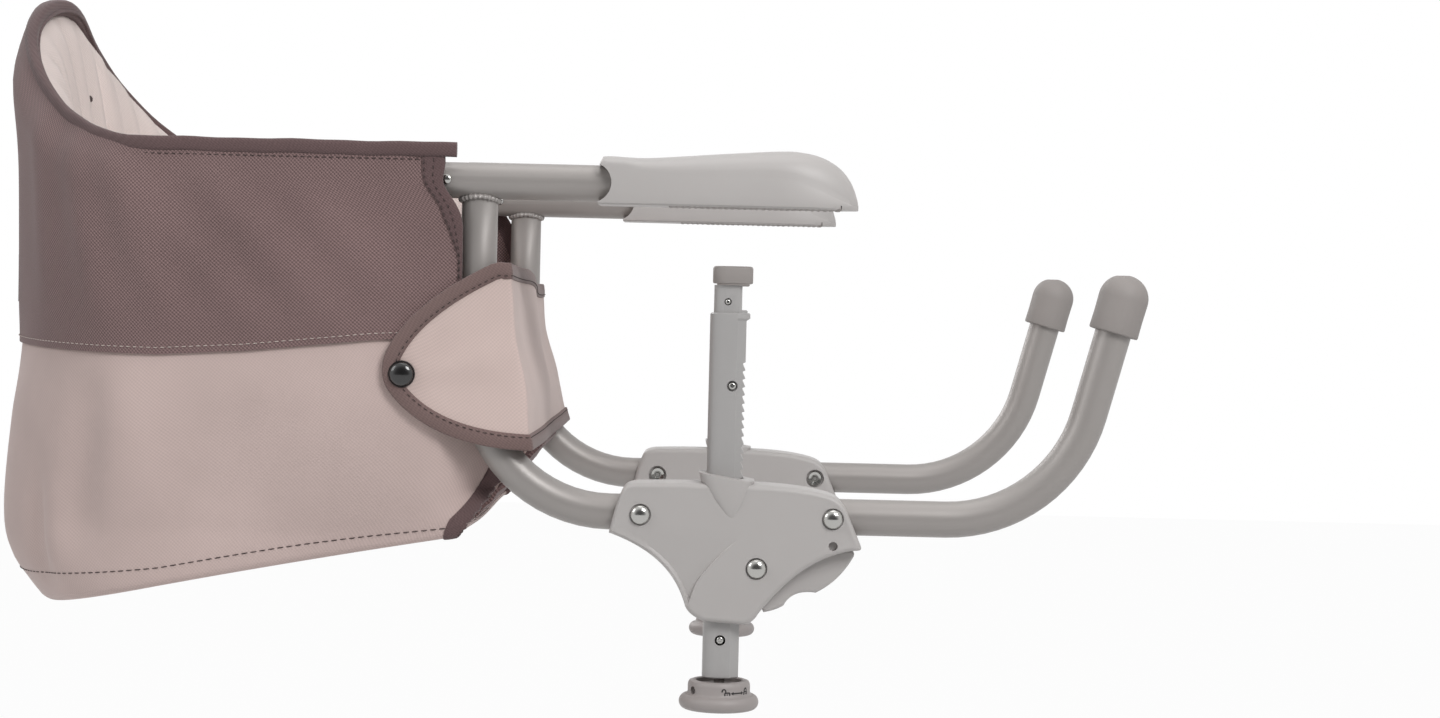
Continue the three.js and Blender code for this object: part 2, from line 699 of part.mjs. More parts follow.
// Flush screws: each is a disc with a socket, level with the wall that holds it.
function flushScrew(x, z, radius, lowY, highY) {
  const depth = (highY - lowY) / 2;
  const socket = roundBarY(x, z, radius * 0.45, highY - depth, highY + 1, 6);
  return cut(roundBarY(x, z, radius, lowY, highY, 14), socket);
}
const sleeveScrewSpan = [sleeveHalf - sleeveSideWall + 0.1, sleeveHalf - 0.2];
const guideScrew = flushScrew(guideScrewX, guideScrewZ, sleeveScrewRadius, ...sleeveScrewSpan);
addPair('guide_screw', guideScrew, finishes.steel);
const bushScrew = flushScrew(postAxisX, bushScrewZ, sleeveScrewRadius, ...sleeveScrewSpan);
addPair('bush_screw', bushScrew, finishes.steel);

// Bush plugged in the sleeve's foot, in which the clamp screw turns.
const boreClear = screwRadius + 0.4;
const bushSize = [cavityDepth - 2 * slidingGap, cavityWidth - 2 * slidingGap];
const bush = cut(
  upright(postSection(postAxisX, ...bushSize, cavityChamfer), sleeveBottomZ, sleeveBottomZ + bushHeight),
  roundBarZ(postAxisX, boreClear, sleeveBottomZ - 1, sleeveBottomZ + bushHeight + 1),
);
addPair('sleeve_bush', bush, finishes.plastic);

// Clamp post: slides in the sleeve, with a threaded bore for the screw and the pad on its top.
const postWidth = cavityWidth - 2 * slidingGap;
const postScrewSpan = [postWidth / 2 - 1.6, postWidth / 2 - 0.2];
const clampPost = cut(
  upright(postSection(postAxisX, postSize, postWidth, cavityChamfer), postBottomZ, postTopZ),
  roundBarZ(postAxisX, boreClear, postBottomZ - 1, postTopZ + 1),
  roundBarY(postAxisX, postScrewZ, postScrewRadius + seatingGap, postScrewSpan[0] - seatingGap, sleeveSize),
);
addPair('clamp_post', clampPost, finishes.post);
const postScrew = flushScrew(postAxisX, postScrewZ, postScrewRadius, ...postScrewSpan);
addPair('post_screw', postScrew, finishes.steel);

const spigotDepth = 12;
const clampPadOutline = postSection(postX + clampPadOffset, clampPadSize, clampPadSize, 1.5);
const clampPadFootZ = clampTopZ - clampPadHeight;
const clampPad = join(
  upright(clampPadOutline, clampPadFootZ, clampTopZ),
  roundBarZ(postAxisX, screwRadius, clampPadFootZ - spigotDepth, clampTopZ - clampPadHeight / 2),
);
addPair('clamp_pad', clampPad, finishes.rubber);

// Clamp screw: turns in the bush under its collar and drives the post up or down.
const knobTopZ = sleeveBottomZ - knobGap;
const knobBottomZ = knobTopZ - knobHeight;
const screwFootZ = knobBottomZ + 4;
const screwCollarZ = sleeveBottomZ + bushHeight + seatingGap;
const clampScrew = turned([
  [0, screwFootZ],
  [screwRadius, screwFootZ],
  [screwRadius, screwCollarZ],
  [screwRadius + 3, screwCollarZ],
  [screwRadius + 3, screwCollarZ + 3.5],
  [screwRadius, screwCollarZ + 3.5],
  [screwRadius, screwTopZ],
  [0, screwTopZ],
], 14).translate(postAxisX, 0, 0);
addPair('clamp_screw', clampScrew, finishes.steel);

// Handwheel under the sleeve: a collar above a wider rounded rim.
const rimRound = knobRimHeight / 2;
const knobFloor = knobTopZ - knobRecess;
const knobRecessRadius = sleeveHalf * 1.25;
const knobProfile = [[0, knobBottomZ], [knobRimRadius - rimRound, knobBottomZ]];
const rimSteps = 5;
for (let step = 1; step < rimSteps; step += 1) {
  const angle = Math.PI * (step / rimSteps - 0.5);
  const middleZ = knobBottomZ + rimRound;
  const reach = knobRimRadius - rimRound + rimRound * Math.cos(angle);
  knobProfile.push([reach, middleZ + rimRound * Math.sin(angle)]);
}
knobProfile.push(
  [knobCollarRadius + 1, knobBottomZ + knobRimHeight],
  [knobCollarRadius, knobBottomZ + knobRimHeight + 1],
  [knobCollarRadius, knobTopZ - 2],
  [knobCollarRadius - 2, knobTopZ],
  [knobRecessRadius, knobTopZ],
  [knobRecessRadius, knobFloor],
  [screwRadius + 0.15, knobFloor],
  [screwRadius + 0.15, screwFootZ - seatingGap],
  [0, screwFootZ - seatingGap],
);
const knob = turned(knobProfile, 20).translate(postAxisX, 0, 0);
addPair('clamp_knob', knob, finishes.rubber);

// Rivet on which the hoop folds, through the arm and the hoop's tongue.
const rivetProfile = [
  [0, -tubeRadius - 1.2],
  [rivetHeadRadius, -tubeRadius - 0.9],
  [rivetHeadRadius, -tubeRadius - seatingGap],
  [rivetRadius, -tubeRadius - seatingGap],
  [rivetRadius, tubeRadius + seatingGap],
  [rivetHeadRadius, tubeRadius + seatingGap],
  [rivetHeadRadius * 0.8, tubeRadius + 1.4],
  [0, tubeRadius + 2],
];
const rivet = turned(rivetProfile, 14).rotateX(-Math.PI / 2).translate(pivotX, 0, armHeight);
addPair('hoop_rivet', rivet, finishes.steel);

// Back hoop: one bent tube round the seat's rim, flattened to a tongue at both ends.
const hoopFrontX = pivotX - hoopStart;
const seatCornerX = hoopRearX + hoopBackDepth;
const backAngles = [];
for (let step = 0; step <= backSteps; step += 1) {
  backAngles.push(((Math.PI / 2) * step) / (backSteps + 0.5));
}
const hoopAngles = [...backAngles, ...backAngles.map((angle) => Math.PI - angle).reverse()];
const hoopStations = hoopAngles.map((angle) => {
  const [sine, cosine] = [Math.sin(angle), Math.cos(angle)];
  const point = new THREE.Vector3(seatCornerX - hoopBackDepth * sine, -sideOffset * cosine, armHeight);
  const tangent = new THREE.Vector3(-hoopBackDepth * cosine, sideOffset * sine, 0).normalize();
  return { point, tangent };
});
const rearwards = new THREE.Vector3(-1, 0, 0);
const forwards = new THREE.Vector3(1, 0, 0);
hoopStations.unshift({ point: new THREE.Vector3(hoopFrontX, -sideOffset, armHeight), tangent: rearwards });
hoopStations.push({ point: new THREE.Vector3(hoopFrontX, sideOffset, armHeight), tangent: forwards });
const hoopTube = tubeAlong(hoopStations);
const tongueOutline = new THREE.Shape();
const tongueHalf = tongueHeight / 2;
const tongueRoot = tubeRadius - tubeWall / 2;
tongueOutline.moveTo(hoopFrontX - 8, armHeight - tongueRoot);
tongueOutline.lineTo(hoopFrontX - 1, armHeight - tongueRoot);
tongueOutline.lineTo(hoopFrontX, armHeight - tongueHalf);
tongueOutline.lineTo(pivotX, armHeight - tongueHalf);
tongueOutline.absarc(pivotX, armHeight, tongueHalf, -Math.PI / 2, Math.PI / 2);
tongueOutline.lineTo(hoopFrontX, armHeight + tongueHalf);
tongueOutline.lineTo(hoopFrontX - 1, armHeight + tongueRoot);
tongueOutline.lineTo(hoopFrontX - 8, armHeight + tongueRoot);
const tongue = cut(
  sidePlate(tongueOutline, -tongueThickness / 2, tongueThickness / 2),
  roundBarY(pivotX, armHeight, rivetRadius + seatingGap, -tubeDiameter, tubeDiameter),
);
const leftTongue = tongue.clone().translate(0, sideOffset, 0);
const rightTongue = tongue.clone().translate(0, -sideOffset, 0);
addPiece(chair, 'back_hoop', join(hoopTube, leftTongue, rightTongue), finishes.tube);

// Back wall of the seat in the side view: x of the outer face at each height.
const seatRearX = hoopRearX - (seatHalfWidth - sideOffset);
const backProfile = new THREE.SplineCurve([
  new THREE.Vector2(hemZ - 152, seatRearX + 9),
  new THREE.Vector2(hemZ - 128, seatRearX - 1),
  new THREE.Vector2(hemZ - 102, seatRearX - 9),
  new THREE.Vector2(hemZ - 47, seatRearX - 4),
  new THREE.Vector2(hemZ, seatRearX),
  new THREE.Vector2(armHeight, seatRearX),
  new THREE.Vector2(rimZ + 28, seatRearX - 4.5),
  new THREE.Vector2(rimZ + 50, seatRearX - 3.5),
  new THREE.Vector2(rimZ + 75, seatRearX + 4.5),
  new THREE.Vector2(rimZ + humpHeight, seatRearX + 10),
]);
const backPoints = backProfile.getPoints(60);
function backX(z) {
  const above = backPoints.findIndex((point) => point.x >= z);
  if (above === 0) return backPoints[0].y;
  if (above < 0) return backPoints[backPoints.length - 1].y;
  const [low, high] = [backPoints[above - 1], backPoints[above]];
  return THREE.MathUtils.mapLinear(z, low.x, high.x, low.y, high.y);
}

function halfWidthAt(z) {
  const share = THREE.MathUtils.clamp((hemZ - z) / (hemZ - baseFrontZ), 0, 1);
  return THREE.MathUtils.lerp(seatHalfWidth, baseHalfWidth, share * share);
}

function baseZ(x) {
  return baseFrontZ + baseSlope * (x - baseFrontX);
}

// Rim height by the share of the half width: level along the sides, a hump across the back.
function rimAt(share) {
  const fall = Math.max(0, Math.cos((Math.PI / 2) * share));
  return rimZ + humpHeight * fall ** humpTaper;
}

// Half of a horizontal slice of the seat: straight along the side, then round the back.
const planHalf = [{ along: 0, angle: 0 }, { along: 0.5, angle: 0 }];
for (const angle of backAngles) planHalf.push({ along: 1, angle });

function planPoint({ along, angle }, edgeX, rearX, halfWidth) {
  const straightX = THREE.MathUtils.lerp(edgeX, seatCornerX, along);
  return [straightX + (rearX - seatCornerX) * Math.sin(angle), halfWidth * Math.cos(angle)];
}

// A bucket of slices from bottom to top, inset from the seat's outer face and open in front.
function bucket({ inset, bottom, top, front, levels }) {
  const rings = [];
  for (let level = 0; level <= levels; level += 1) {
    const half = planHalf.map((place) => {
      let [x, y] = planPoint(place, baseFrontX, backX(baseFrontZ), seatHalfWidth);
      let z = baseFrontZ;
      const highest = top(y / seatHalfWidth);
      for (let settle = 0; settle < 6; settle += 1) {
        z = THREE.MathUtils.lerp(bottom(x), highest, level / levels);
        [x, y] = planPoint(place, front(z), backX(z) + inset, halfWidthAt(z) - inset);
      }
      return [x, y, z];
    });
    const mirrored = half.map(([x, y, z]) => [x, -y, z]).reverse();
    rings.push([...half, ...mirrored]);
  }
  return laddered(rings);
}

// A closed solid through rings that mirror in y, whose ends are filled by rungs across y.
function laddered(rings) {
  const count = rings[0].length;
  const triangles = [];
  for (let ring = 0; ring < rings.length - 1; ring += 1) {
    for (let i = 0; i < count; i += 1) {
      const [a, b] = [ring * count + i, ring * count + ((i + 1) % count)];
      triangles.push(a, b, a + count, b, b + count, a + count);
    }
  }
  const last = (rings.length - 1) * count;
  for (let i = 0; i < count / 2 - 1; i += 1) {
    const [a, b, c, d] = [i, i + 1, count - 2 - i, count - 1 - i];
    triangles.push(a, d, b, b, d, c);
    triangles.push(last + a, last + b, last + d, last + b, last + c, last + d);
  }
  const geometry = new THREE.BufferGeometry();
  geometry.setAttribute('position', new THREE.Float32BufferAttribute(rings.flat(2), 3));
  geometry.setIndex(triangles);
  return geometry;
}

// Upper band of dark fabric, over the hoop and up the back.
const clearPast = 40;
const bandFront = () => bandFrontX;
const upperBand = cut(
  bucket({ inset: 0, bottom: () => hemZ, top: rimAt, front: bandFront, levels: 7 }),
  bucket({
    inset: fabricThickness,
    bottom: () => hemZ - clearPast,
    top: (share) => rimAt(share) + clearPast,
    front: () => bandFrontX + clearPast,
    levels: 14,
  }),
);
addPiece(chair, 'seat_upper_band', upperBand, finishes.darkFabric);

// Lower body of pale fabric: sides, back and bottom, with a front edge that follows the bent tube.
const bodyTopZ = hemZ - seatingGap;
const legEdgeZ = lowerZ + 22;
const legEdgeX = -4;
function bodyFront(z) {
  if (z > legEdgeZ) {
    const share = THREE.MathUtils.clamp((bodyTopZ - z) / (bodyTopZ - legEdgeZ), 0, 1);
    return THREE.MathUtils.lerp(bandFrontX + 6, legEdgeX, share);
  }
  const share = THREE.MathUtils.clamp((legEdgeZ - z) / (legEdgeZ - baseFrontZ), 0, 1);
  return THREE.MathUtils.lerp(legEdgeX, baseFrontX, share);
}
const lowerBody = cut(
  bucket({ inset: 0, bottom: baseZ, top: () => bodyTopZ, front: bodyFront, levels: 6 }),
  bucket({
    inset: fabricThickness,
    bottom: (x) => baseZ(x) + fabricThickness,
    top: () => bodyTopZ + clearPast,
    front: (z) => bodyFront(z) + clearPast,
    levels: 6,
  }),
);
addPiece(chair, 'seat_lower_body', lowerBody, finishes.paleFabric);

// Foam base pad laid in the bottom of the body, under the liner.
const basePadLow = (x) => baseZ(x) + fabricThickness + seatingGap;
const basePadHigh = (x) => basePadLow(x) + basePadThickness;
const basePadInset = fabricThickness + 11;
function slab(inset, low, high, edgeX) {
  const rearX = backX(baseFrontZ) + inset + 12;
  const side = planHalf.map((place) => planPoint(place, edgeX, rearX, baseHalfWidth - inset));
  const loop = [...side, ...side.map(([x, y]) => [x, -y]).reverse()];
  return laddered([low, high].map((heightAt) => loop.map(([x, y]) => [x, y, heightAt(x)])));
}
const basePad = geometryOf(solidOf(slab(basePadInset, basePadLow, basePadHigh, baseFrontX - 2)));
addPiece(chair, 'seat_base_pad', basePad, finishes.foam);

// Padded liner: thin against the sides, rolled over the hoop and thick across the back's hump.
const linerFloor = (x) => basePadHigh(x) + seatingGap;
const linerRim = (share) => rimAt(share) - 2;
const rollBottomZ = armHeight + tubeRadius + 0.8;
const linerFront = () => linerFrontX;
const liner = cut(
  join(
    bucket({ inset: linerInset, bottom: linerFloor, top: linerRim, front: linerFront, levels: 8 }),
    bucket({
      inset: fabricThickness + layerGap,
      bottom: () => rollBottomZ,
      top: linerRim,
      front: linerFront,
      levels: 7,
    }),
  ),
  bucket({
    inset: linerInset + linerThickness,
    bottom: (x) => linerFloor(x) + linerThickness,
    top: (share) => linerRim(share) + clearPast,
    front: () => linerFrontX + clearPast,
    levels: 9,
  }),
);
addPiece(chair, 'seat_liner', liner, finishes.liner);

// Front panel: a sheet across both uprights whose ends fold back outside them as rounded flaps.
const flapInnerY = seatHalfWidth + 0.5;
const flapOuterY = flapInnerY + panelThickness;
const panelFaceX = (z) => THREE.MathUtils.mapLinear(z, panelTopZ, panelBottomZ, panelTopX, panelBottomX);
const sheetOutline = outlineOf([
  [panelFaceX(panelTopZ), panelTopZ],
  [panelFaceX(panelTopZ) + panelThickness, panelTopZ],
  [panelFaceX(panelBottomZ) + panelThickness, panelBottomZ],
  [panelFaceX(panelBottomZ), panelBottomZ],
]);
const flapOutline = new THREE.Shape();
flapOutline.moveTo(panelFaceX(panelTopZ) + panelThickness, panelTopZ);
flapOutline.lineTo(panelTopX - 6, panelTopZ + 1);
flapOutline.quadraticCurveTo(flapTipX + 15, flapTipZ + 40, flapTipX + 2, flapTipZ + 13);
flapOutline.quadraticCurveTo(flapTipX - 2, flapTipZ, flapTipX + 7, flapTipZ - 13);
const flapFoot = [panelFaceX(panelBottomZ) + panelThickness, panelBottomZ];
flapOutline.quadraticCurveTo(flapTipX + 30, flapTipZ - 38, ...flapFoot);
const frontPanel = join(
  sidePlate(sheetOutline, -flapOuterY, flapOuterY),
  sidePlate(flapOutline, flapInnerY, flapOuterY),
  sidePlate(flapOutline, -flapOuterY, -flapInnerY),
);
addPiece(chair, 'front_panel', frontPanel, finishes.paleFabric);

const snapProfile = [[0, 0], [snapRadius, 0]];
const snapSteps = 5;
for (let step = 1; step <= snapSteps; step += 1) {
  const angle = (Math.PI / 2) * (step / snapSteps);
  const reach = step === snapSteps ? 0 : snapRadius * Math.cos(angle);
  snapProfile.push([reach, snapHeight * Math.sin(angle)]);
}
const snapSeat = flapOuterY - sideOffset + seatingGap;
const snap = turned(snapProfile, 18).rotateX(-Math.PI / 2).translate(snapX, snapSeat, flapTipZ + 0.5);
addPair('flap_snap', snap, finishes.blackPlastic);

// Crotch strap: rises from the seat's front edge to the foot of the front panel.
const strapHalf = strapWidth / 2;
const strapTopX = panelFaceX(panelBottomZ) + 1;
const strapTopZ = panelBottomZ - seatingGap;
const strapFootX = baseFrontX + 2.2;
const strapOutline = new THREE.Shape();
strapOutline.moveTo(strapFootX, baseFrontZ);
strapOutline.quadraticCurveTo(strapFootX + 10, lowerZ + 8, strapTopX + 1, strapTopZ);
strapOutline.lineTo(strapTopX - 2, strapTopZ);
strapOutline.quadraticCurveTo(strapFootX + 7, lowerZ + 11.5, strapFootX, baseFrontZ + fabricThickness);
addPiece(chair, 'crotch_strap', sidePlate(strapOutline, -strapHalf, strapHalf), finishes.darkFabric);

// Waist strap stitched across the inside of the front panel, with its buckle in the middle.
const waistTopZ = waistStrapZ + waistStrapWidth / 2;
const waistBottomZ = waistStrapZ - waistStrapWidth / 2;
const waistReach = sideOffset - tubeRadius - 5;
const waistFront = seatingGap;
const waistBack = seatingGap + waistStrapThickness;
const waistOutline = outlineOf([
  [panelFaceX(waistTopZ) - waistBack, waistTopZ],
  [panelFaceX(waistTopZ) - waistFront, waistTopZ],
  [panelFaceX(waistBottomZ) - waistFront, waistBottomZ],
  [panelFaceX(waistBottomZ) - waistBack, waistBottomZ],
]);
addPiece(chair, 'waist_strap', sidePlate(waistOutline, -waistReach, waistReach), finishes.darkFabric);

const panelLean = Math.atan((panelBottomX - panelTopX) / (panelTopZ - panelBottomZ));
const buckleRound = 2;
const buckleShape = new THREE.Shape();
buckleShape.absellipse(0, 0, buckleWidth / 2, buckleLength / 2, 0, Math.PI * 2);
const buckle = new THREE.ExtrudeGeometry(buckleShape, {
  depth: buckleHeight - 2 * buckleRound,
  bevelThickness: buckleRound,
  bevelSize: buckleRound,
  bevelOffset: -buckleRound,
  bevelSegments: 1,
  curveSegments: 10,
});
const buckleX = panelFaceX(waistStrapZ) - waistBack - seatingGap - buckleRound - 0.2;
buckle.rotateY(-Math.PI / 2 - panelLean).translate(buckleX, 0, waistStrapZ);
addPiece(chair, 'harness_buckle', buckle, finishes.blackPlastic);

export default chair;
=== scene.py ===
import math

import bmesh
import bpy
import numpy as np
from mathutils import Matrix, Vector
from mathutils.geometry import delaunay_2d_cdt


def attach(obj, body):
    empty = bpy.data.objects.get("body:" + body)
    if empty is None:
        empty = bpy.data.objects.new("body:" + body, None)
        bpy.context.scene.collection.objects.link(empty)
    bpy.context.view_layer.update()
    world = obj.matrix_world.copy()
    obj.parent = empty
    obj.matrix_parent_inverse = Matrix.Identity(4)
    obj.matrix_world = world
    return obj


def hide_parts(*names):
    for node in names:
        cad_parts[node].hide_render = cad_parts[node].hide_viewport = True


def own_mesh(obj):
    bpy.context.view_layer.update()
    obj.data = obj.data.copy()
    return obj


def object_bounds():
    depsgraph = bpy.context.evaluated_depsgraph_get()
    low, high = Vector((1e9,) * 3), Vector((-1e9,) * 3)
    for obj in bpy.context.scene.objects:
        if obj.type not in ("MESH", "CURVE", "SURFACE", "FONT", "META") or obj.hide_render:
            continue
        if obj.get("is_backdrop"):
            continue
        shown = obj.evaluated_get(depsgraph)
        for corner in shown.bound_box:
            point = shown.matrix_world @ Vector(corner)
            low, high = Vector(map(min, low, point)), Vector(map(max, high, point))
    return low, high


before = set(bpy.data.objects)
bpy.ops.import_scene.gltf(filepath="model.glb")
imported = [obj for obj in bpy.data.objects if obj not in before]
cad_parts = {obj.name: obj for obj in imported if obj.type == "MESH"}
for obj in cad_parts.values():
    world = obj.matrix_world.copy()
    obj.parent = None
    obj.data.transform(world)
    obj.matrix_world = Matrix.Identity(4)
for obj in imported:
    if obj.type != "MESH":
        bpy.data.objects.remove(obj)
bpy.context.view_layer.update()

scene = bpy.context.scene
scene.view_settings.view_transform = "Standard"

# Camera: it stands level with the clamp posts on the seat's right-hand side, a metre and a half
# away, and leans by a degree or so. The picture is 1440 by 718 pixels.
eye = Vector((0.1313, -1.6027, -0.0483))
focal_pixels, picture_width, sensor_width = 2624, 1440, 36
turn_pixels, nod_pixels = 15, 62
lean = math.radians(1.38)
rightward = Vector((math.cos(lean), turn_pixels / focal_pixels, math.sin(lean))).normalized()
upward = Vector((-math.sin(lean), nod_pixels / focal_pixels, math.cos(lean))).normalized()
backward = rightward.cross(upward).normalized()
upward = backward.cross(rightward)
camera = bpy.data.objects.new("camera", bpy.data.cameras.new("camera"))
camera.data.sensor_width = sensor_width
camera.data.lens = sensor_width * focal_pixels / picture_width
camera.data.clip_start = 0.05
camera.matrix_world = Matrix.Translation(eye) @ Matrix((rightward, upward, backward)).transposed().to_4x4()
scene.collection.objects.link(camera)
scene.camera = camera


# Studio: a white surround, four soft lamps and a pale floor 740 mm below the chair's origin. The
# surround and the floor show as white, and light the chair at a plain level.
def add_node(tree, kind, settings=(), **inputs):
    node = tree.nodes.new(kind)
    for key, value in dict(settings).items():
        setattr(node, key, value)
    for key, value in inputs.items():
        node.inputs[key.replace("_", " ")].default_value = value
    return node


def seen_directly(tree):
    path = add_node(tree, "ShaderNodeLightPath")
    glossy = add_node(tree, "ShaderNodeMath", {"operation": "MAXIMUM"})
    clear = add_node(tree, "ShaderNodeMath", {"operation": "MAXIMUM"})
    tree.links.new(path.outputs["Is Camera Ray"], glossy.inputs[0])
    tree.links.new(path.outputs["Is Glossy Ray"], glossy.inputs[1])
    tree.links.new(glossy.outputs[0], clear.inputs[0])
    tree.links.new(path.outputs["Is Transmission Ray"], clear.inputs[1])
    return clear.outputs[0]


surround = bpy.data.worlds.new("white_surround")
surround.use_nodes = True
scene.world = surround
tree = surround.node_tree
path = add_node(tree, "ShaderNodeLightPath")
compass = add_node(tree, "ShaderNodeSeparateXYZ")
tree.links.new(add_node(tree, "ShaderNodeTexCoord").outputs["Generated"], compass.inputs[0])
room_side = add_node(tree, "ShaderNodeMapRange", {"interpolation_type": "SMOOTHSTEP"}, From_Min=-0.97,
                     From_Max=-0.6, To_Min=0.12, To_Max=1.0)
tree.links.new(compass.outputs["Y"], room_side.inputs["Value"])
mirrored = add_node(tree, "ShaderNodeMix", {"data_type": "FLOAT"})
mirrored.inputs["A"].default_value = 0.3
tree.links.new(path.outputs["Is Glossy Ray"], mirrored.inputs["Factor"])
tree.links.new(room_side.outputs["Result"], mirrored.inputs["B"])
through = add_node(tree, "ShaderNodeMath", {"operation": "MAXIMUM"})
tree.links.new(path.outputs["Is Camera Ray"], through.inputs[0])
tree.links.new(path.outputs["Is Transmission Ray"], through.inputs[1])
level = add_node(tree, "ShaderNodeMix", {"data_type": "FLOAT"})
level.inputs["B"].default_value = 1.0
tree.links.new(through.outputs[0], level.inputs["Factor"])
tree.links.new(mirrored.outputs["Result"], level.inputs["A"])
tree.nodes["Background"].inputs["Color"].default_value = (1, 1, 1, 1)
tree.links.new(level.outputs["Result"], tree.nodes["Background"].inputs["Strength"])


def add_lamp(name, place, target, size, watts):
    lamp = bpy.data.objects.new(name, bpy.data.lights.new(name, "AREA"))
    lamp.data.size = size
    lamp.data.energy = watts
    lamp.location = place
    lamp.rotation_euler = (Vector(target) - Vector(place)).to_track_quat("-Z", "Y").to_euler()
    scene.collection.objects.link(lamp)


add_lamp("key_lamp", (0.9, -1.4, 0.95), (0.0, -0.1, -0.08), 0.7, 18.5)
add_lamp("fill_lamp", (-1.35, -0.8, 0.7), (-0.15, -0.1, -0.05), 0.8, 6.0)
add_lamp("top_lamp", (0.1, -0.1, 1.5), (0.0, 0.0, 0.0), 1.2, 7.0)
add_lamp("back_lamp", (-0.8, 1.3, 0.6), (-0.05, 0.1, -0.1), 0.9, 8.0)

floor_mesh = bpy.data.meshes.new("floor")
floor_reach = 7.0
floor_z = -0.74
floor_corners = [(-floor_reach, -floor_reach), (floor_reach, -floor_reach), (floor_reach, floor_reach),
                 (-floor_reach, floor_reach)]
floor_mesh.from_pydata([(x, y, floor_z) for x, y in floor_corners], [], [(0, 1, 2, 3)])
floor_paint = bpy.data.materials.new("pale_floor")
floor_paint.use_nodes = True
tree = floor_paint.node_tree
matt = tree.nodes["Principled BSDF"]
matt.inputs["Base Color"].default_value = (0.86, 0.86, 0.86, 1)
matt.inputs["Roughness"].default_value = 0.9
glow = add_node(tree, "ShaderNodeEmission", Color=(1, 1, 1, 1), Strength=1.0)
share = add_node(tree, "ShaderNodeMath", {"operation": "MULTIPLY"})
share.inputs[1].default_value = 0.965
blend = add_node(tree, "ShaderNodeMixShader")
tree.links.new(seen_directly(tree), share.inputs[0])
tree.links.new(share.outputs[0], blend.inputs["Fac"])
tree.links.new(matt.outputs[0], blend.inputs[1])
tree.links.new(glow.outputs[0], blend.inputs[2])
tree.links.new(blend.outputs[0], tree.nodes["Material Output"].inputs["Surface"])
floor_mesh.materials.append(floor_paint)
floor = bpy.data.objects.new("floor", floor_mesh)
scene.collection.objects.link(floor)
floor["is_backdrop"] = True


# Frame tubes: 20 mm steel tube, cold bent and powder coated in satin grey. Each side is an upper
# arm, an upright that bends into the rear lower tube, and a front lower tube that rises again.

# Lengths are millimetres. Side pieces are drawn with y outwards from the plane of their side's tubes.
half_spacing = 160.0
tube_radius = 10.0
tube_wall = 1.5
arm_height = 12.2
lower_z = -168.0
upright_x = -10.0
arm_rear, arm_front, rear_tube_end, front_tube_end = -40, 90, 114, 146
pivot_x = -27.5
tongue_slot_half, tongue_slot_front, rivet_hole = 2.3, -16.5, 2.3
rear_bend, front_bend = 75.0, 80.0
front_corner_x = 311.4
front_lean = math.radians(15)


def linear(red, green, blue):
    def one(value):
        value /= 255
        return value / 12.92 if value <= 0.04045 else ((value + 0.055) / 1.055) ** 2.4
    return one(red), one(green), one(blue), 1.0


def shaded(colour, factor):
    return tuple(min(1.0, c * factor) for c in colour[:3]) + (1.0,)


def hard_finish(name, colour, roughness, metallic=0.0, grain=1500, depth=0.04, mottle=0.05, coat=0.0, edges=0.0):
    """Plastic, rubber, coat or metal with a fine grain, a faint mottle and, if asked, edges painted lighter: rubbed
    wear with a painted highlight.
    """
    finish = bpy.data.materials.new(name)
    finish.use_nodes = True
    tree = finish.node_tree
    shader = tree.nodes["Principled BSDF"]
    shader.inputs["Metallic"].default_value = metallic
    shader.inputs["Coat Weight"].default_value = coat
    shader.inputs["Coat Roughness"].default_value = 0.15
    place = add_node(tree, "ShaderNodeTexCoord")
    cloud = add_node(tree, "ShaderNodeTexNoise", Scale=22.0, Detail=4.0, Roughness=0.6)
    speck = add_node(tree, "ShaderNodeTexNoise", Scale=float(grain), Detail=3.0, Roughness=0.6)
    tone = add_node(tree, "ShaderNodeMix", {"data_type": "RGBA"})
    tone.inputs["A"].default_value = shaded(colour, 1 - mottle)
    tone.inputs["B"].default_value = shaded(colour, 1 + mottle)
    gloss = add_node(tree, "ShaderNodeMapRange", From_Min=0.3, From_Max=0.7, To_Min=roughness - 0.06,
                     To_Max=roughness + 0.06)
    relief = add_node(tree, "ShaderNodeBump", Strength=depth, Distance=0.0004)
    for noise in (cloud, speck):
        tree.links.new(place.outputs["Object"], noise.inputs["Vector"])
    tree.links.new(cloud.outputs["Fac"], tone.inputs["Factor"])
    tree.links.new(speck.outputs["Fac"], gloss.inputs["Value"])
    tree.links.new(speck.outputs["Fac"], relief.inputs["Height"])
    tree.links.new(gloss.outputs["Result"], shader.inputs["Roughness"])
    tree.links.new(relief.outputs["Normal"], shader.inputs["Normal"])
    colour_out = tone.outputs["Result"]
    # Sharp edges, found by pointiness, are painted lighter: partly rubbed wear, partly a painted highlight where light
    # catches a chamfer.
    if edges > 0:
        shape = add_node(tree, "ShaderNodeNewGeometry")
        rubbed_and_lit_share = add_node(tree, "ShaderNodeMapRange", From_Min=0.53, From_Max=0.62, To_Min=0.0, To_Max=edges)
        worn_and_lit_edge = add_node(tree, "ShaderNodeMix", {"data_type": "RGBA"})
        worn_and_lit_edge.inputs["B"].default_value = shaded(colour, 1.5)
        tree.links.new(shape.outputs["Pointiness"], rubbed_and_lit_share.inputs["Value"])
        tree.links.new(rubbed_and_lit_share.outputs["Result"], worn_and_lit_edge.inputs["Factor"])
        tree.links.new(colour_out, worn_and_lit_edge.inputs["A"])
        colour_out = worn_and_lit_edge.outputs["Result"]
    tree.links.new(colour_out, shader.inputs["Base Color"])
    return finish


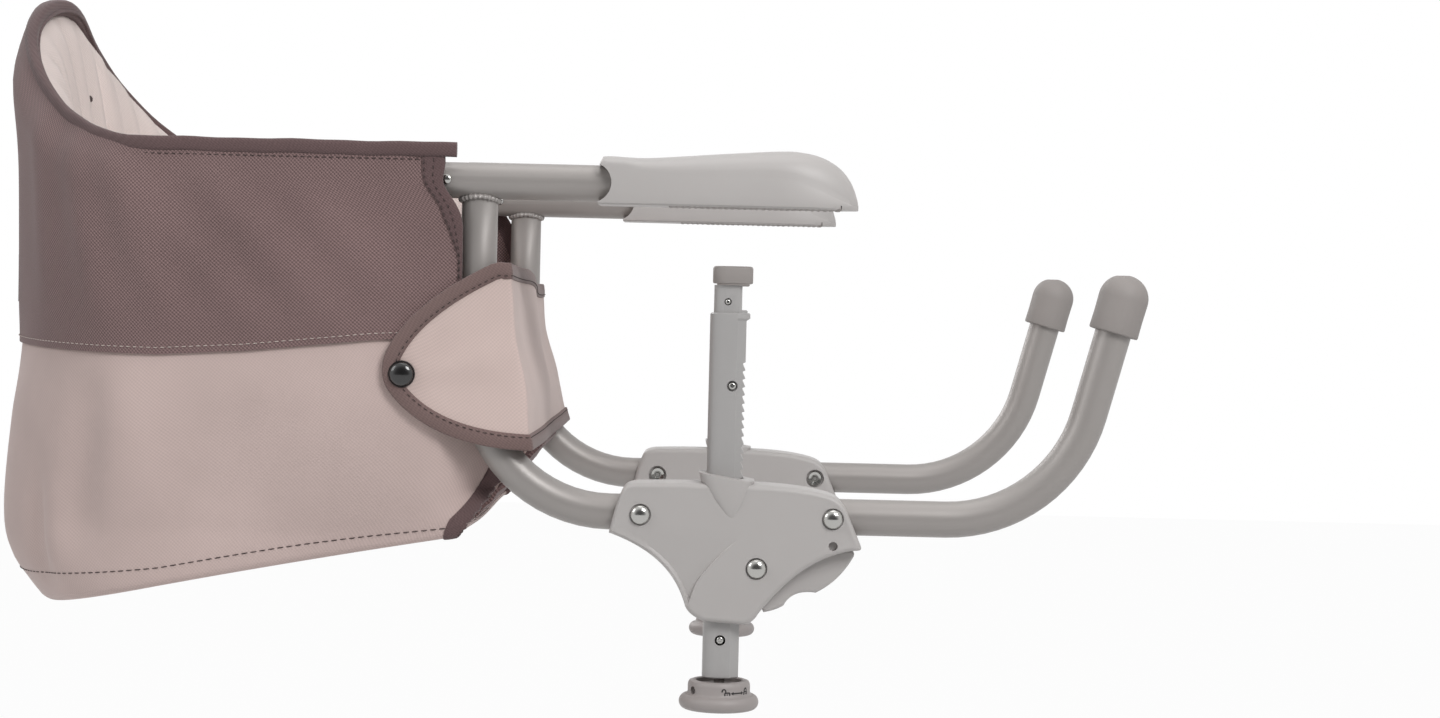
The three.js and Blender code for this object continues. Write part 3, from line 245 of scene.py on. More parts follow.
def loft(rings, wrap=False):
    """Points and faces of a skin through rings; the ends are closed, or joined to each other."""
    count = len(rings[0])
    points = [tuple(p) for ring in rings for p in ring]
    faces = []
    pairs = [(i, i + 1) for i in range(len(rings) - 1)]
    if wrap:
        pairs.append((len(rings) - 1, 0))
    for low, high in pairs:
        for i in range(count):
            j = (i + 1) % count
            faces.append((low * count + i, low * count + j, high * count + j, high * count + i))
    if not wrap:
        for ring, order in ((0, -1), (len(rings) - 1, 1)):
            middle = len(points)
            points.append(tuple(np.mean(np.array(rings[ring], float), axis=0)))
            for i in range(count):
                a, b = ring * count + i, ring * count + (i + 1) % count
                faces.append((a, b, middle) if order > 0 else (b, a, middle))
    return points, faces


def shaped(points, faces):
    """A mesh in metres from points in millimetres, with its faces turned outwards."""
    mesh = bpy.data.meshes.new("shape")
    mesh.from_pydata([tuple(0.001 * c for c in p) for p in points], [], faces)
    mesh.update()
    volume = 0.0
    for face in mesh.polygons:
        corners = [mesh.vertices[v].co for v in face.vertices]
        for k in range(1, len(corners) - 1):
            volume += corners[0].dot(corners[k].cross(corners[k + 1]))
    if volume < 0:
        mesh.flip_normals()
    return mesh


def add_piece(name, mesh, finish, body, nodes=(), smooth=38):
    mesh.name = name
    mesh.materials.clear()
    mesh.materials.append(finish)
    mesh.shade_smooth()
    mesh.set_sharp_from_angle(angle=math.radians(smooth))
    piece = bpy.data.objects.new(name, mesh)
    scene.collection.objects.link(piece)
    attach(piece, body)
    if nodes:
        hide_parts(*nodes)
    return piece


def add_pair(name, mesh, finish, body, node=None, smooth=38):
    """The left and the right copy of a side piece; body and node get the side's name."""
    pieces = []
    for side, sign in (("left", 1), ("right", -1)):
        own = mesh.copy()
        own.transform(Matrix.Diagonal((1, sign, 1, 1)) @ Matrix.Translation((0, half_spacing * 0.001, 0)))
        if sign < 0:
            own.flip_normals()
        carried = body if body in ("frame", "hoop") else f"{body}_{side}"
        nodes = [f"{node}_{side}"] if node else []
        pieces.append(add_piece(f"{name}_{side}", own, finish, carried, nodes, smooth))
    return pieces


def carved(mesh, *cutters):
    """The mesh with the cutters' shapes taken out of it."""
    body = bpy.data.objects.new("carved", mesh)
    scene.collection.objects.link(body)
    tools = []
    for cutter in cutters:
        tool = bpy.data.objects.new("cutter", cutter)
        scene.collection.objects.link(tool)
        tools.append(tool)
        step = body.modifiers.new("cut", "BOOLEAN")
        step.operation = "DIFFERENCE"
        step.solver = "EXACT"
        step.object = tool
    bpy.context.view_layer.update()
    result = bpy.data.meshes.new_from_object(body.evaluated_get(bpy.context.evaluated_depsgraph_get()))
    for used in [body, *tools]:
        bpy.data.objects.remove(used)
    return result


def rod(axis, centre, radius, low, high, sides=40):
    """A round bar along x, y or z, for carving; centre gives the two other coordinates."""
    rings = []
    for reach in (low, high):
        ring = []
        for i in range(sides):
            angle = 2 * math.pi * (i + 0.5) / sides
            spot = [centre[0] + radius * math.cos(angle), centre[1] + radius * math.sin(angle)]
            spot.insert("xyz".index(axis), reach)
            ring.append(tuple(spot))
        rings.append(ring)
    return shaped(*loft(rings))


def box(low, high):
    rings = []
    for z in (low[2], high[2]):
        rings.append([(low[0], low[1], z), (high[0], low[1], z), (high[0], high[1], z), (low[0], high[1], z)])
    return shaped(*loft(rings))


def bent_path(corners, radius, steps=16):
    """Points and directions of straight runs in the side view that meet in round corners."""
    spots = [Vector((x, 0, z)) for x, z in corners]
    path = [(spots[0], (spots[1] - spots[0]).normalized())]
    for before, spot, after in zip(spots, spots[1:], spots[2:]):
        coming, going = (spot - before).normalized(), (after - spot).normalized()
        turn = coming.angle(going)
        axis = coming.cross(going).normalized()
        start = spot - coming * radius * math.tan(turn / 2)
        centre = start + axis.cross(coming) * radius
        for step in range(steps + 1):
            swing = Matrix.Rotation(turn * step / steps, 3, axis)
            path.append((centre + swing @ (start - centre), swing @ coming))
    path.append((spots[-1], (spots[-1] - spots[-2]).normalized()))
    return path


def tube(path, radius, wall, sides=32):
    def ring(spot, heading, reach):
        across, up = Vector((0, 1, 0)), heading.cross(Vector((0, 1, 0)))
        turns = [2 * math.pi * i / sides for i in range(sides)]
        return [tuple(spot + across * reach * math.cos(a) + up * reach * math.sin(a)) for a in turns]
    outside = [ring(spot, heading, radius) for spot, heading in path]
    inside = [ring(spot, heading, radius - wall) for spot, heading in path]
    return shaped(*loft(outside + inside[::-1], wrap=True))


tube_coat = hard_finish("satin_grey_coat", linear(156, 151, 148), 0.42, 0.25, grain=2200, depth=0.05, mottle=0.03)
arm = tube(bent_path([(arm_rear, arm_height), (arm_front, arm_height)], 0), tube_radius, tube_wall)
arm = carved(
    arm,
    box((arm_rear - 1, -tongue_slot_half, arm_height), (tongue_slot_front, tongue_slot_half, arm_height + 20)),
    rod("y", (pivot_x, arm_height), rivet_hole, -20, 20, 20),
)
add_pair("bent_arm", arm, tube_coat, "frame", "arm_tube")
upright_path = bent_path([(upright_x, arm_height), (upright_x, lower_z), (rear_tube_end, lower_z)], rear_bend)
upright_path[1:1] = [(Vector((upright_x, 0, z)), upright_path[0][1]) for z in range(8, -36, -4)]
upright = tube(upright_path, tube_radius, tube_wall)
pressed_from, pressed_run, pressed_share = 34, 36, 0.4
for corner in upright.vertices:
    nearness = min(max((corner.co.z * 1000 + pressed_from) / pressed_run, 0), 1)
    corner.co.y *= 1 - pressed_share * nearness ** 2 * (3 - 2 * nearness)
upright = carved(upright, rod("x", (0, arm_height), tube_radius + 0.1, -60, 100, 64))
add_pair("bent_upright", upright, tube_coat, "frame", "rear_tube")
cap_radius, cap_skirt, clamp_z = 13.7, 19.7, -31.5
cap_reach = (clamp_z - cap_radius + 0.9 - lower_z) / math.cos(front_lean) - cap_skirt


def along_front(reach):
    return front_corner_x + reach * math.sin(front_lean), lower_z + reach * math.cos(front_lean)


tube_in_cap = 17
lower_corners = [(front_tube_end, lower_z), (front_corner_x, lower_z), along_front(cap_reach + tube_in_cap)]
lower = tube(bent_path(lower_corners, front_bend), tube_radius, tube_wall)
add_pair("bent_front_tube", lower, tube_coat, "frame", "front_tube")

# Weld bead where the upright, pressed flat at its end, meets the arm: a rippled fillet along the
# coped edge, under the same coat.
bead_rings = []
bead_steps, bead_sides = 120, 8
for step in range(bead_steps):
    angle = 2 * math.pi * step / bead_steps
    ripple = 1.9 + 0.3 * math.sin(step * 1.35) + 0.15 * math.sin(step * 0.4)
    outward = Vector((math.cos(angle), math.sin(angle), 0))
    reach_out = Vector((tube_radius * math.cos(angle), 0.6 * tube_radius * math.sin(angle), 0))
    drop = math.sqrt(tube_radius ** 2 - reach_out.y ** 2)
    middle = Vector((upright_x, 0, arm_height - drop - 0.5)) + reach_out
    away = Vector((0, outward.y * 0.5, -1)).normalized()
    ring = []
    for side in range(bead_sides):
        turn = 2 * math.pi * side / bead_sides
        ring.append(tuple(middle + outward * ripple * math.cos(turn) + away * ripple * math.sin(turn)))
    bead_rings.append(ring)
add_pair("weld_bead", shaped(*loft(bead_rings, wrap=True)), tube_coat, "frame", smooth=60)


# Caps: warm grey rubber sleeves pushed over the ends of the front tubes. Each is a plain moulding
# with a domed top, flat in the middle where it bears.
def turned(profile, sides=48):
    """Rings about a vertical axis through the origin, from (radius, height) points."""
    rings = []
    for radius, height in profile:
        turns = [2 * math.pi * i / sides for i in range(sides)]
        rings.append([(radius * math.cos(a), radius * math.sin(a), height) for a in turns])
    return rings


rubber = hard_finish("warm_grey_rubber", linear(150, 144, 141), 0.62, grain=1900, depth=0.12, mottle=0.04,
                     edges=0.12)
cap_profile = [(10.3, 15.0), (10.3, 1.0), (11.2, 0.0), (cap_radius - 0.7, 0.0), (cap_radius - 0.2, 0.3),
               (cap_radius, 1.0), (cap_radius - 0.15, cap_skirt * 0.5)]
for step in range(13):
    angle = math.pi / 2 * step / 12
    reach = cap_radius * math.cos(angle) ** 0.95 if step < 12 else 0.02
    cap_profile.append((reach, cap_skirt + (cap_radius - 0.45) * math.sin(angle)))
lean_turn = Matrix.Rotation(front_lean, 3, "Y")
cap_foot = Vector((along_front(cap_reach)[0], 0, along_front(cap_reach)[1]))
cap_rings = []
for ring in turned(cap_profile, 56):
    spots = [lean_turn @ Vector(p) + cap_foot for p in ring]
    cap_rings.append([(p.x, p.y, min(p.z, clamp_z)) for p in spots])
add_pair("front_cap", shaped(*loft(cap_rings)), rubber, "frame", "tube_cap", smooth=50)

# Arm pads: pale grey mouldings pushed over the ends of the arms. A soft shoulder runs along each
# side, the crown rises towards the nose, and the tube's socket is scooped out at the rear.
pad_rear, pad_length, pad_half, pad_foot = 55.6, 142.0, 20.0, 0.4


def smooth_curve(knots, samples=200):
    """Points of a smooth curve through the knots."""
    spots = np.array(knots, float)
    padded_spots = np.vstack([2 * spots[0] - spots[1], spots, 2 * spots[-1] - spots[-2]])
    found = []
    for share in np.linspace(0, len(spots) - 1, samples):
        i = min(int(share), len(spots) - 2)
        t = share - i
        a, b, c, d = padded_spots[i:i + 4]
        squares, cubes = 2 * a - 5 * b + 4 * c - d, 3 * b - a - 3 * c + d
        found.append(0.5 * (2 * b + (c - a) * t + squares * t ** 2 + cubes * t ** 3))
    return np.array(found)


crown = smooth_curve([(0, 23), (1.2, 26), (4.5, 27.2), (24, 26.6), (45, 28), (70, 30), (99.4, 32), (112, 31.4),
                      (123, 28.6), (132, 23), (138, 15.5), (141.3, 7), (142, 3.4)], 90)
shoulder = smooth_curve([(0, 25), (10, 23), (28, 18.5), (60, 17.6), (100, 17.4), (116, 13), (128, 7.5),
                         (142, 1.5)], 200)
pad_chamfer = 2.4
pad_rings = []
for x, top in crown:
    share = x / pad_length
    nose = math.sqrt(max(0.05, 1 - max(0.0, (share - 0.7) / 0.31) ** 2))
    half = pad_half * (0.82 + 0.18 * math.sin(math.pi * min(share, 0.55))) * nose
    ledge = min(float(np.interp(x, shoulder[:, 0], shoulder[:, 1])), pad_foot + (top - pad_foot) * 0.8)
    outline = [(half * 0.55, pad_foot), (half * 0.93, pad_foot), (half * 0.985, pad_foot + 0.9),
               (half, pad_foot + pad_chamfer)]
    for rise in np.linspace(0.25, 1, 7):
        wall_z = pad_foot + pad_chamfer + (ledge - pad_foot - pad_chamfer) * rise
        outline.append((half * (1 - 0.05 * rise ** 2), wall_z))
    for swing in np.linspace(0.1, 1, 13):
        angle = math.pi / 2 * swing
        outline.append((half * 0.95 * math.cos(angle) ** 0.75, ledge + (top - ledge) * math.sin(angle) ** 0.9))
    other_half = [(-w, z) for w, z in outline[:-1]][::-1]
    pad_rings.append([(pad_rear + x, w, z) for w, z in outline + other_half])
pale_mould = hard_finish("pale_grey_moulding", linear(182, 178, 176), 0.45, grain=2600, depth=0.09, mottle=0.025,
                         edges=0.15)
scoop_radius, scoop_depth, fit_gap = 10.8, 7.1, 0.3
sole_rear, sole_front, sole_half, sole_top = 94.0, 188.0, 13.0, 2.3
pad = carved(
    shaped(*loft(pad_rings)),
    rod("x", (0, arm_height), tube_radius + fit_gap, 50, arm_front + fit_gap, 56),
    rod("y", (pad_rear + scoop_depth - scoop_radius, arm_height), scoop_radius, -40, 40, 64),
    box((sole_rear - fit_gap, -sole_half - fit_gap, -5),
        (sole_front + fit_gap, sole_half + fit_gap, sole_top + fit_gap)),
)
add_pair("moulded_arm_pad", pad, pale_mould, "frame", "arm_pad", smooth=32)

# Pad soles: strips of the caps' grey rubber, glued into the pads' undersides. They are moulded with
# fine ribs across for grip.
sole_rings = []
rib_width, rib_depth, sole_edge = 1.7, 0.35, 0.6
for x in np.linspace(sole_rear, sole_front, 142):
    inset = sole_edge if x in (sole_rear, sole_front) else 0.0
    dip = rib_depth if int((x - sole_rear) / rib_width) % 2 and not inset else 0.0
    side_y = sole_half - inset
    sole_rings.append([(x, -side_y, sole_top), (x, side_y, sole_top), (x, side_y, 0.5 + dip),
                       (x, side_y - sole_edge, dip), (x, -side_y + sole_edge, dip), (x, -side_y, 0.5 + dip)])
add_pair("ribbed_pad_sole", shaped(*loft(sole_rings)), rubber, "frame", "arm_pad_sole", smooth=20)


# Hub shells: two pale grey mouldings that close round the lower tubes on each side, screwed
# together. The outer face is crowned, with a hollowed rear wing behind a curved edge.
def traced(start, *moves, step=1.4):
    """Points along lines and curves; a move ends at its last point, after its controls."""
    path = [np.array(start, float)]
    for move in moves:
        marks = [path[-1]] + [np.array(m, float) for m in move]
        span = sum(np.linalg.norm(b - a) for a, b in zip(marks, marks[1:]))
        count = max(2, int(span / step))
        for t in np.linspace(0, 1, count + 1)[1:]:
            layer = marks
            while len(layer) > 1:
                layer = [a + (b - a) * t for a, b in zip(layer, layer[1:])]
            path.append(layer[0])
    if np.linalg.norm(path[0] - path[-1]) < 1e-6:
        path.pop()
    return np.array(path)


def edge_distance(spots, outline):
    """How far each point lies from the outline."""
    nearest = np.full(len(spots), 1e9)
    for a, b in zip(outline, np.roll(outline, -1, axis=0)):
        run = b - a
        t = np.clip(((spots - a) @ run) / max(run @ run, 1e-12), 0, 1)
        nearest = np.minimum(nearest, np.linalg.norm(spots - (a + t[:, None] * run), axis=1))
    return nearest


def inside(spots, outline):
    hit = np.zeros(len(spots), bool)
    for a, b in zip(outline, np.roll(outline, -1, axis=0)):
        crosses = (a[1] > spots[:, 1]) != (b[1] > spots[:, 1])
        reach = a[0] + (spots[:, 1] - a[1]) * (b[0] - a[0]) / (b[1] - a[1] + 1e-12)
        hit ^= crosses & (spots[:, 0] < reach)
    return hit


def moulding(outline, low, high, round_off, relief=None, spacing=2.0, crease=None):
    """A plate in the side view with a flat back at y = low and a rounded, shaped face at high."""
    low_corner, high_corner = outline.min(axis=0), outline.max(axis=0)
    across = np.arange(low_corner[0], high_corner[0], spacing)
    up = np.arange(low_corner[1], high_corner[1], spacing)
    grid = np.array([(x + (j % 2) * spacing / 2, z) for j, z in enumerate(up) for x in across])
    grid = grid[inside(grid, outline)]
    grid = grid[edge_distance(grid, outline) > round_off + 0.6 * spacing]
    ahead, behind = np.roll(outline, -1, axis=0), np.roll(outline, 1, axis=0)
    heading = (ahead - behind) / np.linalg.norm(ahead - behind, axis=1)[:, None]
    inward = np.stack([-heading[:, 1], heading[:, 0]], axis=1)
    if not inside((outline + 0.05 * inward)[:1], outline)[0]:
        inward = -inward
    bands = []
    for share in (0.06, 0.22, 0.5, 0.8, 1.0):
        band = outline + inward * round_off * share
        keep = inside(band, outline) & (edge_distance(band, outline) > 0.93 * round_off * share)
        bands.append(band[keep])
    if crease is not None:
        run = np.gradient(crease, axis=0)
        run /= np.linalg.norm(run, axis=1, keepdims=True)
        beside = np.stack([-run[:, 1], run[:, 0]], axis=1)
        sides = np.vstack([crease - 0.28 * beside, crease + 0.28 * beside])
        grid = grid[np.min(np.linalg.norm(grid[:, None] - crease[None], axis=2), axis=1) > 1.3]
        bands.append(sides[inside(sides, outline) & (edge_distance(sides, outline) > 1.2 * round_off)])
    spots = np.vstack([outline, *bands, grid])
    edge = list(range(len(outline)))
    flat, _, triangles, origins, _, _ = delaunay_2d_cdt([Vector(p) for p in spots], [], [edge], 1, 1e-5)
    flat = np.array([tuple(p) for p in flat])
    depth = np.minimum(edge_distance(flat, outline), round_off)
    rise = np.sqrt(np.maximum(round_off ** 2 - (round_off - depth) ** 2, 0))
    sign = 1 if high > low else -1
    height = high + sign * (rise - round_off)
    if relief is not None:
        height = height + sign * relief(flat) * (depth / round_off) ** 2
    points = [(p[0], h, p[1]) for p, h in zip(flat, height)]
    base = len(points)
    rim = [next(i for i, o in enumerate(origins) if k in o) for k in edge]
    points += [(flat[i][0], low, flat[i][1]) for i in rim]
    faces = [tuple(t) for t in triangles]
    count = len(rim)
    faces += [(rim[k], rim[(k + 1) % count], base + (k + 1) % count, base + k) for k in range(count)]
    _, _, floor_triangles, _, _, _ = delaunay_2d_cdt([Vector(p) for p in outline], [], [edge], 1, 1e-5)
    faces += [tuple(base + i for i in t)[::-1] for t in floor_triangles]
    mesh = shaped(points, faces)
    shell = bmesh.new()
    shell.from_mesh(mesh)
    bmesh.ops.recalc_face_normals(shell, faces=shell.faces)
    shell.to_mesh(mesh)
    shell.free()
    return mesh


rear_bolt_x, front_bolt_x, post_x = 82.5, 187.5, 128.0
hub_foot, hub_top = lower_z - 59, lower_z + 17.7
hub_outline = traced(
    (rear_bolt_x - 17, lower_z - 10.4),
    [(rear_bolt_x - 14, hub_top - 13), (rear_bolt_x - 10, hub_top - 4)],
    [(rear_bolt_x - 8.5, hub_top - 1.2), (rear_bolt_x - 2, hub_top - 0.6)],
    [(post_x - 30, hub_top + 0.2), (post_x - 13, hub_top)],
    [(post_x + 15, hub_top)],
    [(front_bolt_x - 16, hub_top - 0.5), (front_bolt_x - 1, hub_top - 5.2)],
    [(front_bolt_x + 5, hub_top - 7.4), (front_bolt_x + 7.5, hub_top - 13)],
    [(front_bolt_x + 15.6, lower_z - 14.2)],
    [(front_bolt_x + 16.8, lower_z - 17.0), (front_bolt_x + 14, lower_z - 17.1)],
    [(front_bolt_x + 10, lower_z - 17.4)],
    [(front_bolt_x - 8, lower_z - 21), (post_x + 36, hub_foot + 27), (post_x + 20, hub_foot + 6)],
    [(post_x + 17, hub_foot + 0.5), (post_x + 12, hub_foot)],
    [(post_x - 10, hub_foot + 1.5)],
    [(post_x - 19, hub_foot + 5), (post_x - 20.3, hub_foot + 10.7)],
    [(post_x - 25, lower_z - 34), (rear_bolt_x + 11, lower_z - 20), (rear_bolt_x - 17, lower_z - 10.4)],
)
wing_edge = smooth_curve([(141.0, -177.6), (139.1, -178.6), (132.9, -183.1), (123.9, -191.5), (115.9, -200.9),
                          (112.3, -208.1), (109.6, -217.0)], 46)


def hub_relief(spots):
    """A faint crown all over, and a hollow behind the wing's curved edge."""
    x, z = spots[:, 0], spots[:, 1]
    crown_rise = -0.9 * ((x - 135) / 70) ** 2 - 0.5 * ((z + 185) / 45) ** 2
    edge_x = np.interp(-z, -wing_edge[:, 1], wing_edge[:, 0], left=141, right=108)
    behind_edge = np.clip((edge_x - x) / 0.5 + 0.5, 0, 1)
    top_crease = -175.0 - 3.2 * (x - 80) / 59
    return crown_rise - behind_edge * np.clip((top_crease - z) * 0.085, 0, 2.7)


socket_gap = 0.25
tube_sockets = [(20, rear_tube_end + fit_gap), (front_tube_end - fit_gap, 260)]
lever_x, lever_z = 146.5, lower_z - 28
lever_slot_rear, lever_slot_half, lever_slot_roof = 139, 6.6, lower_z - 10.1
bolt_seat, spring_seat, plain_hole = 5.95, 7.0, 2.5
bolt_places = [("rear_hub_bolt", rear_bolt_x, lower_z), ("front_hub_bolt", front_bolt_x, lower_z),
               ("lever_pivot_bolt", lever_x, lever_z)]


def post_ring(z, centre_x, depth, width, chamfer, cut=0.0, lip=0.0, inset=0.0):
    """The clamp posts' section at one height: round corners behind, chamfers and teeth in front."""
    half_depth, half_width = depth / 2 - inset, width / 2 - inset
    rounding = min(depth, width) / 2 * 0.7
    front = centre_x + half_depth - cut + lip
    ring = [(front, -(half_width - chamfer + cut), z), (front, half_width - chamfer + cut, z),
            (centre_x + half_depth - chamfer, half_width, z)]
    for start, y_side in ((math.pi / 2, 1), (math.pi, -1)):
        for step in range(9):
            angle = start + math.pi / 2 * step / 8
            ring.append((centre_x - half_depth + rounding + rounding * math.cos(angle),
                         y_side * (half_width - rounding) + rounding * math.sin(angle), z))
    ring.append((centre_x + half_depth - chamfer, -half_width, z))
    return ring


def post_room():
    return shaped(*loft([post_ring(z, post_x, 20.6, 20.6, 5.0) for z in (hub_foot - 20, hub_top + 25)]))


def hub_cutters(outer):
    """What is hollow in a shell: tube sockets, the sleeve's room, the lever's slot and the bolts' seats."""
    tools = [rod("x", (0, lower_z), tube_radius + socket_gap, low, high, 56) for low, high in tube_sockets]
    tools.append(post_room())
    tools.append(box((lever_slot_rear, -lever_slot_half, -230), (230, lever_slot_half, lever_slot_roof)))
    seat_low, seat_high = (15.3, 40) if outer else (-40, -12.2)
    for _, x, z in bolt_places:
        tools.append(rod("y", (x, z), bolt_seat, seat_low, seat_high, 40))
    if outer:
        tools.append(rod("y", (front_bolt_x + 0.5, lower_z - 14.8), plain_hole, 12.6, 40, 32))
        tools.append(rod("y", (lever_x, lever_z), spring_seat, -1, 12.5, 32))
    return tools


outer_shell = carved(moulding(hub_outline, 0.15, 17.0, 3.4, hub_relief, crease=wing_edge), *hub_cutters(True))
add_pair("hub_cover_outer", outer_shell, pale_mould, "frame", "hub_outer_shell", smooth=30)
inner_shell = carved(moulding(hub_outline, -0.15, -15.0, 3.0), *hub_cutters(False))
add_pair("hub_cover_inner", inner_shell, pale_mould, "frame", "hub_inner_shell", smooth=30)

# Hub collar: the pocket moulded on the hub's top that guides the sleeve. It flares out of the face
# below, wraps right round the sleeve and ends in a thin lip that slopes down towards the front.
collar_rings = []
collar_sides = 48
for level in np.linspace(0, 1, 22):
    reach = math.sqrt(max(0.0, 1 - level ** 1.7))
    left, right = post_x - 14.2 + 16.5 * level ** 1.5, post_x + 16.4 - 9.2 * level ** 1.6
    thick = 17.0 + 2.3 * reach ** 0.8 - 1.4 * level ** 3
    thin = 15.0 + 1.6 * reach - 2.0 * level ** 2
    ring = []
    for i in range(collar_sides):
        angle = 2 * math.pi * i / collar_sides
        c, s = math.cos(angle), math.sin(angle)
        x = (left + right) / 2 + (right - left) / 2 * math.copysign(abs(c) ** 0.7, c)
        y = (thick if s > 0 else thin) * math.copysign(abs(s) ** 0.45, s)
        slope = 6.0 - 4.3 * np.clip((x - post_x + 14) / 28, 0, 1)
        ring.append((x, y, hub_top + slope * (1 - level) - 20.0 * level))
    collar_rings.append(ring)
collar = carved(shaped(*loft(collar_rings)), post_room())
add_pair("hub_collar", collar, pale_mould, "frame", smooth=40)


# Hub bolts: bright plated steel. Their domed heads sit in shallow seats outside, and ring-shaped nuts
# inside draw the two shells together. The lowest one also carries the lever and its spring.
def dome(radius, foot, height, steps, power=1.0):
    """The rounded top of a turned head, from its edge to its middle."""
    turns = [math.pi / 2 * step / steps for step in range(1, steps + 1)]
    return [(max(0.02, radius * math.cos(a)), foot + height * math.sin(a) ** power) for a in turns]


def sideways(profile, x, z, sides):
    """Rings of a turned piece that lies across the chair, at one place in the side view."""
    return [[(px + x, h, py + z) for px, py, h in ring] for ring in turned(profile, sides)]


def repaint(name, finish):
    """Gives a CAD piece that keeps its shape its finish."""
    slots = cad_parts[name].data.materials
    slots.clear()
    slots.append(finish)


plated = hard_finish("bright_plating", linear(178, 177, 174), 0.14, 1.0, grain=500, depth=0.02, mottle=0.04)
bolt_profile = [(0.02, -14.5), (1.3, -14.5), (1.6, -14.0), (1.6, -13.2), (2.4, -13.2), (2.6, -14.2), (4.2, -14.6),
                (4.55, -14.3), (4.6, -12.6), (3.0, -12.5), (3.0, 16.0), (5.25, 16.05), (5.35, 16.3), (5.35, 17.1)]
bolt_profile += dome(5.35, 17.1, 2.9, 9)
for name, x, z in bolt_places:
    bolt = shaped(*loft(sideways(bolt_profile, x, z, 40)))
    add_pair(f"domed_{name}", bolt, plated, "frame", name, smooth=45)
for side in ("left", "right"):
    repaint(f"lever_spring_{side}", plated)

# Release levers: finger paddles of the hub's plastic on the lowest bolt, with a pawl at the rack
# and a scallop under the front wing where two fingers squeeze.
pawl_x, paddle_half = 138.4, 6.0
lever_outline = traced(
    (pawl_x, lever_z - 6.5),
    [(pawl_x, lever_z - 9.5)],
    [(lever_x - 1, lever_z - 13)],
    [(lever_x + 4.5, lever_z - 25)],
    [(lever_x + 11, lever_z - 24), (lever_x + 15.5, lever_z - 21)],
    [(lever_x + 20, lever_z - 12), (lever_x + 33, lever_z - 13.6)],
    [(lever_x + 46, lever_z - 7), (lever_x + 53.5, lever_z + 7)],
    [(lever_x + 54.4, lever_z + 9.8), (lever_x + 51, lever_z + 10.4)],
    [(lever_x + 25, lever_z + 8), (lever_x + 5, lever_z + 5)],
    [(lever_x, lever_z + 9), (lever_x - 5, lever_z + 5)],
    [(pawl_x, lever_z - 6.5)],
)
for face, sign, node in (("outer", 1, "release_lever"), ("inner", -1, None)):
    paddle = carved(moulding(lever_outline, 0.0, sign * paddle_half, 1.6, spacing=2.4),
                    rod("y", (lever_x, lever_z), 3.3, -20, 20, 32))
    add_pair(f"lever_paddle_{face}", paddle, pale_mould, "lever", node, smooth=32)

# Clamp sleeves: square tubes of mid grey plastic with a lip on top and saw teeth down the front,
# in which the hub's pawl catches. A screw high up and one in the foot hold the guides inside.
post_mould = hard_finish("mid_grey_moulding", linear(169, 167, 166), 0.38, grain=2400, depth=0.07, mottle=0.03,
                         edges=0.12)
sleeve_top, sleeve_foot, rack_top, tooth_pitch, teeth = -57.0, -257.5, -84.0, 4.5, 31
sleeve_size, sleeve_bore, post_axis = 20.0, 15.8, 127.6
guide_screw, bush_screw, post_screw = (131.0, -97.0), (post_axis, -236.5), (post_axis, -51.0)
levels = [(sleeve_top, 0.0, 2.0, 0.7), (sleeve_top - 0.7, 0.0, 2.0, 0.0), (sleeve_top - 3.0, 0.0, 2.0, 0.0),
          (sleeve_top - 4.2, 0.0, 0.0, 0.0), (rack_top, 0.0, 0.0, 0.0)]
for tooth in range(teeth):
    shoulder_z = rack_top - tooth * tooth_pitch
    levels += [(shoulder_z - 0.45, 1.35, 0.0, 0.0), (shoulder_z - 1.0, 1.5, 0.0, 0.0),
               (shoulder_z - tooth_pitch + 0.5, 0.12, 0.0, 0.0), (shoulder_z - tooth_pitch, 0.0, 0.0, 0.0)]
levels += [(sleeve_foot + 0.6, 0.0, 0.0, 0.0), (sleeve_foot, 0.0, 0.0, 0.6)]
outside = [post_ring(z, post_x, sleeve_size, sleeve_size, 5.0, cut, lip, inset) for z, cut, lip, inset in levels]
inside_rings = [post_ring(z, post_axis, sleeve_bore, sleeve_bore, 1.5) for z in (sleeve_foot, sleeve_top)]
sleeve = carved(
    shaped(*loft(outside + inside_rings, wrap=True)),
    rod("y", guide_screw, 2.95, 7, 12, 24),
    rod("y", bush_screw, 2.95, 7, 12, 24),
)
add_pair("toothed_sleeve", sleeve, post_mould, "sleeve", "clamp_sleeve", smooth=24)
for side in ("left", "right"):
    repaint(f"sleeve_bush_{side}", pale_mould)


# Small screws: plated steel button heads with a hexagon socket. They are driven in until they are
# level with the plastic walls that they hold.
def socket_screw(radius, low, high):
    profile = [(0.02, low), (radius - 0.2, low), (radius, low + 0.2), (radius, high - 1.0), (radius - 0.2, high - 0.6),
               (radius - 0.6, high - 0.2), (radius - 1.1, high), (0.02, high)]
    head = shaped(*loft(sideways(profile, 0, 0, 32)))
    return carved(head, rod("y", (0, 0), radius * 0.45, high - 0.9, high + 1, 6))


for name, (x, z), radius, low, high, body in (
        ("guide_screw", guide_screw, 2.25, 8.0, 9.9, "sleeve"),
        ("bush_screw", bush_screw, 2.25, 8.0, 9.9, "sleeve"),
        ("post_screw", post_screw, 1.8, 6.1, 7.75, "post")):
    head = socket_screw(radius, low, high)
    head.transform(Matrix.Translation((x * 0.001, 0, z * 0.001)))
    add_pair(f"socket_{name}", head, plated, body, name)

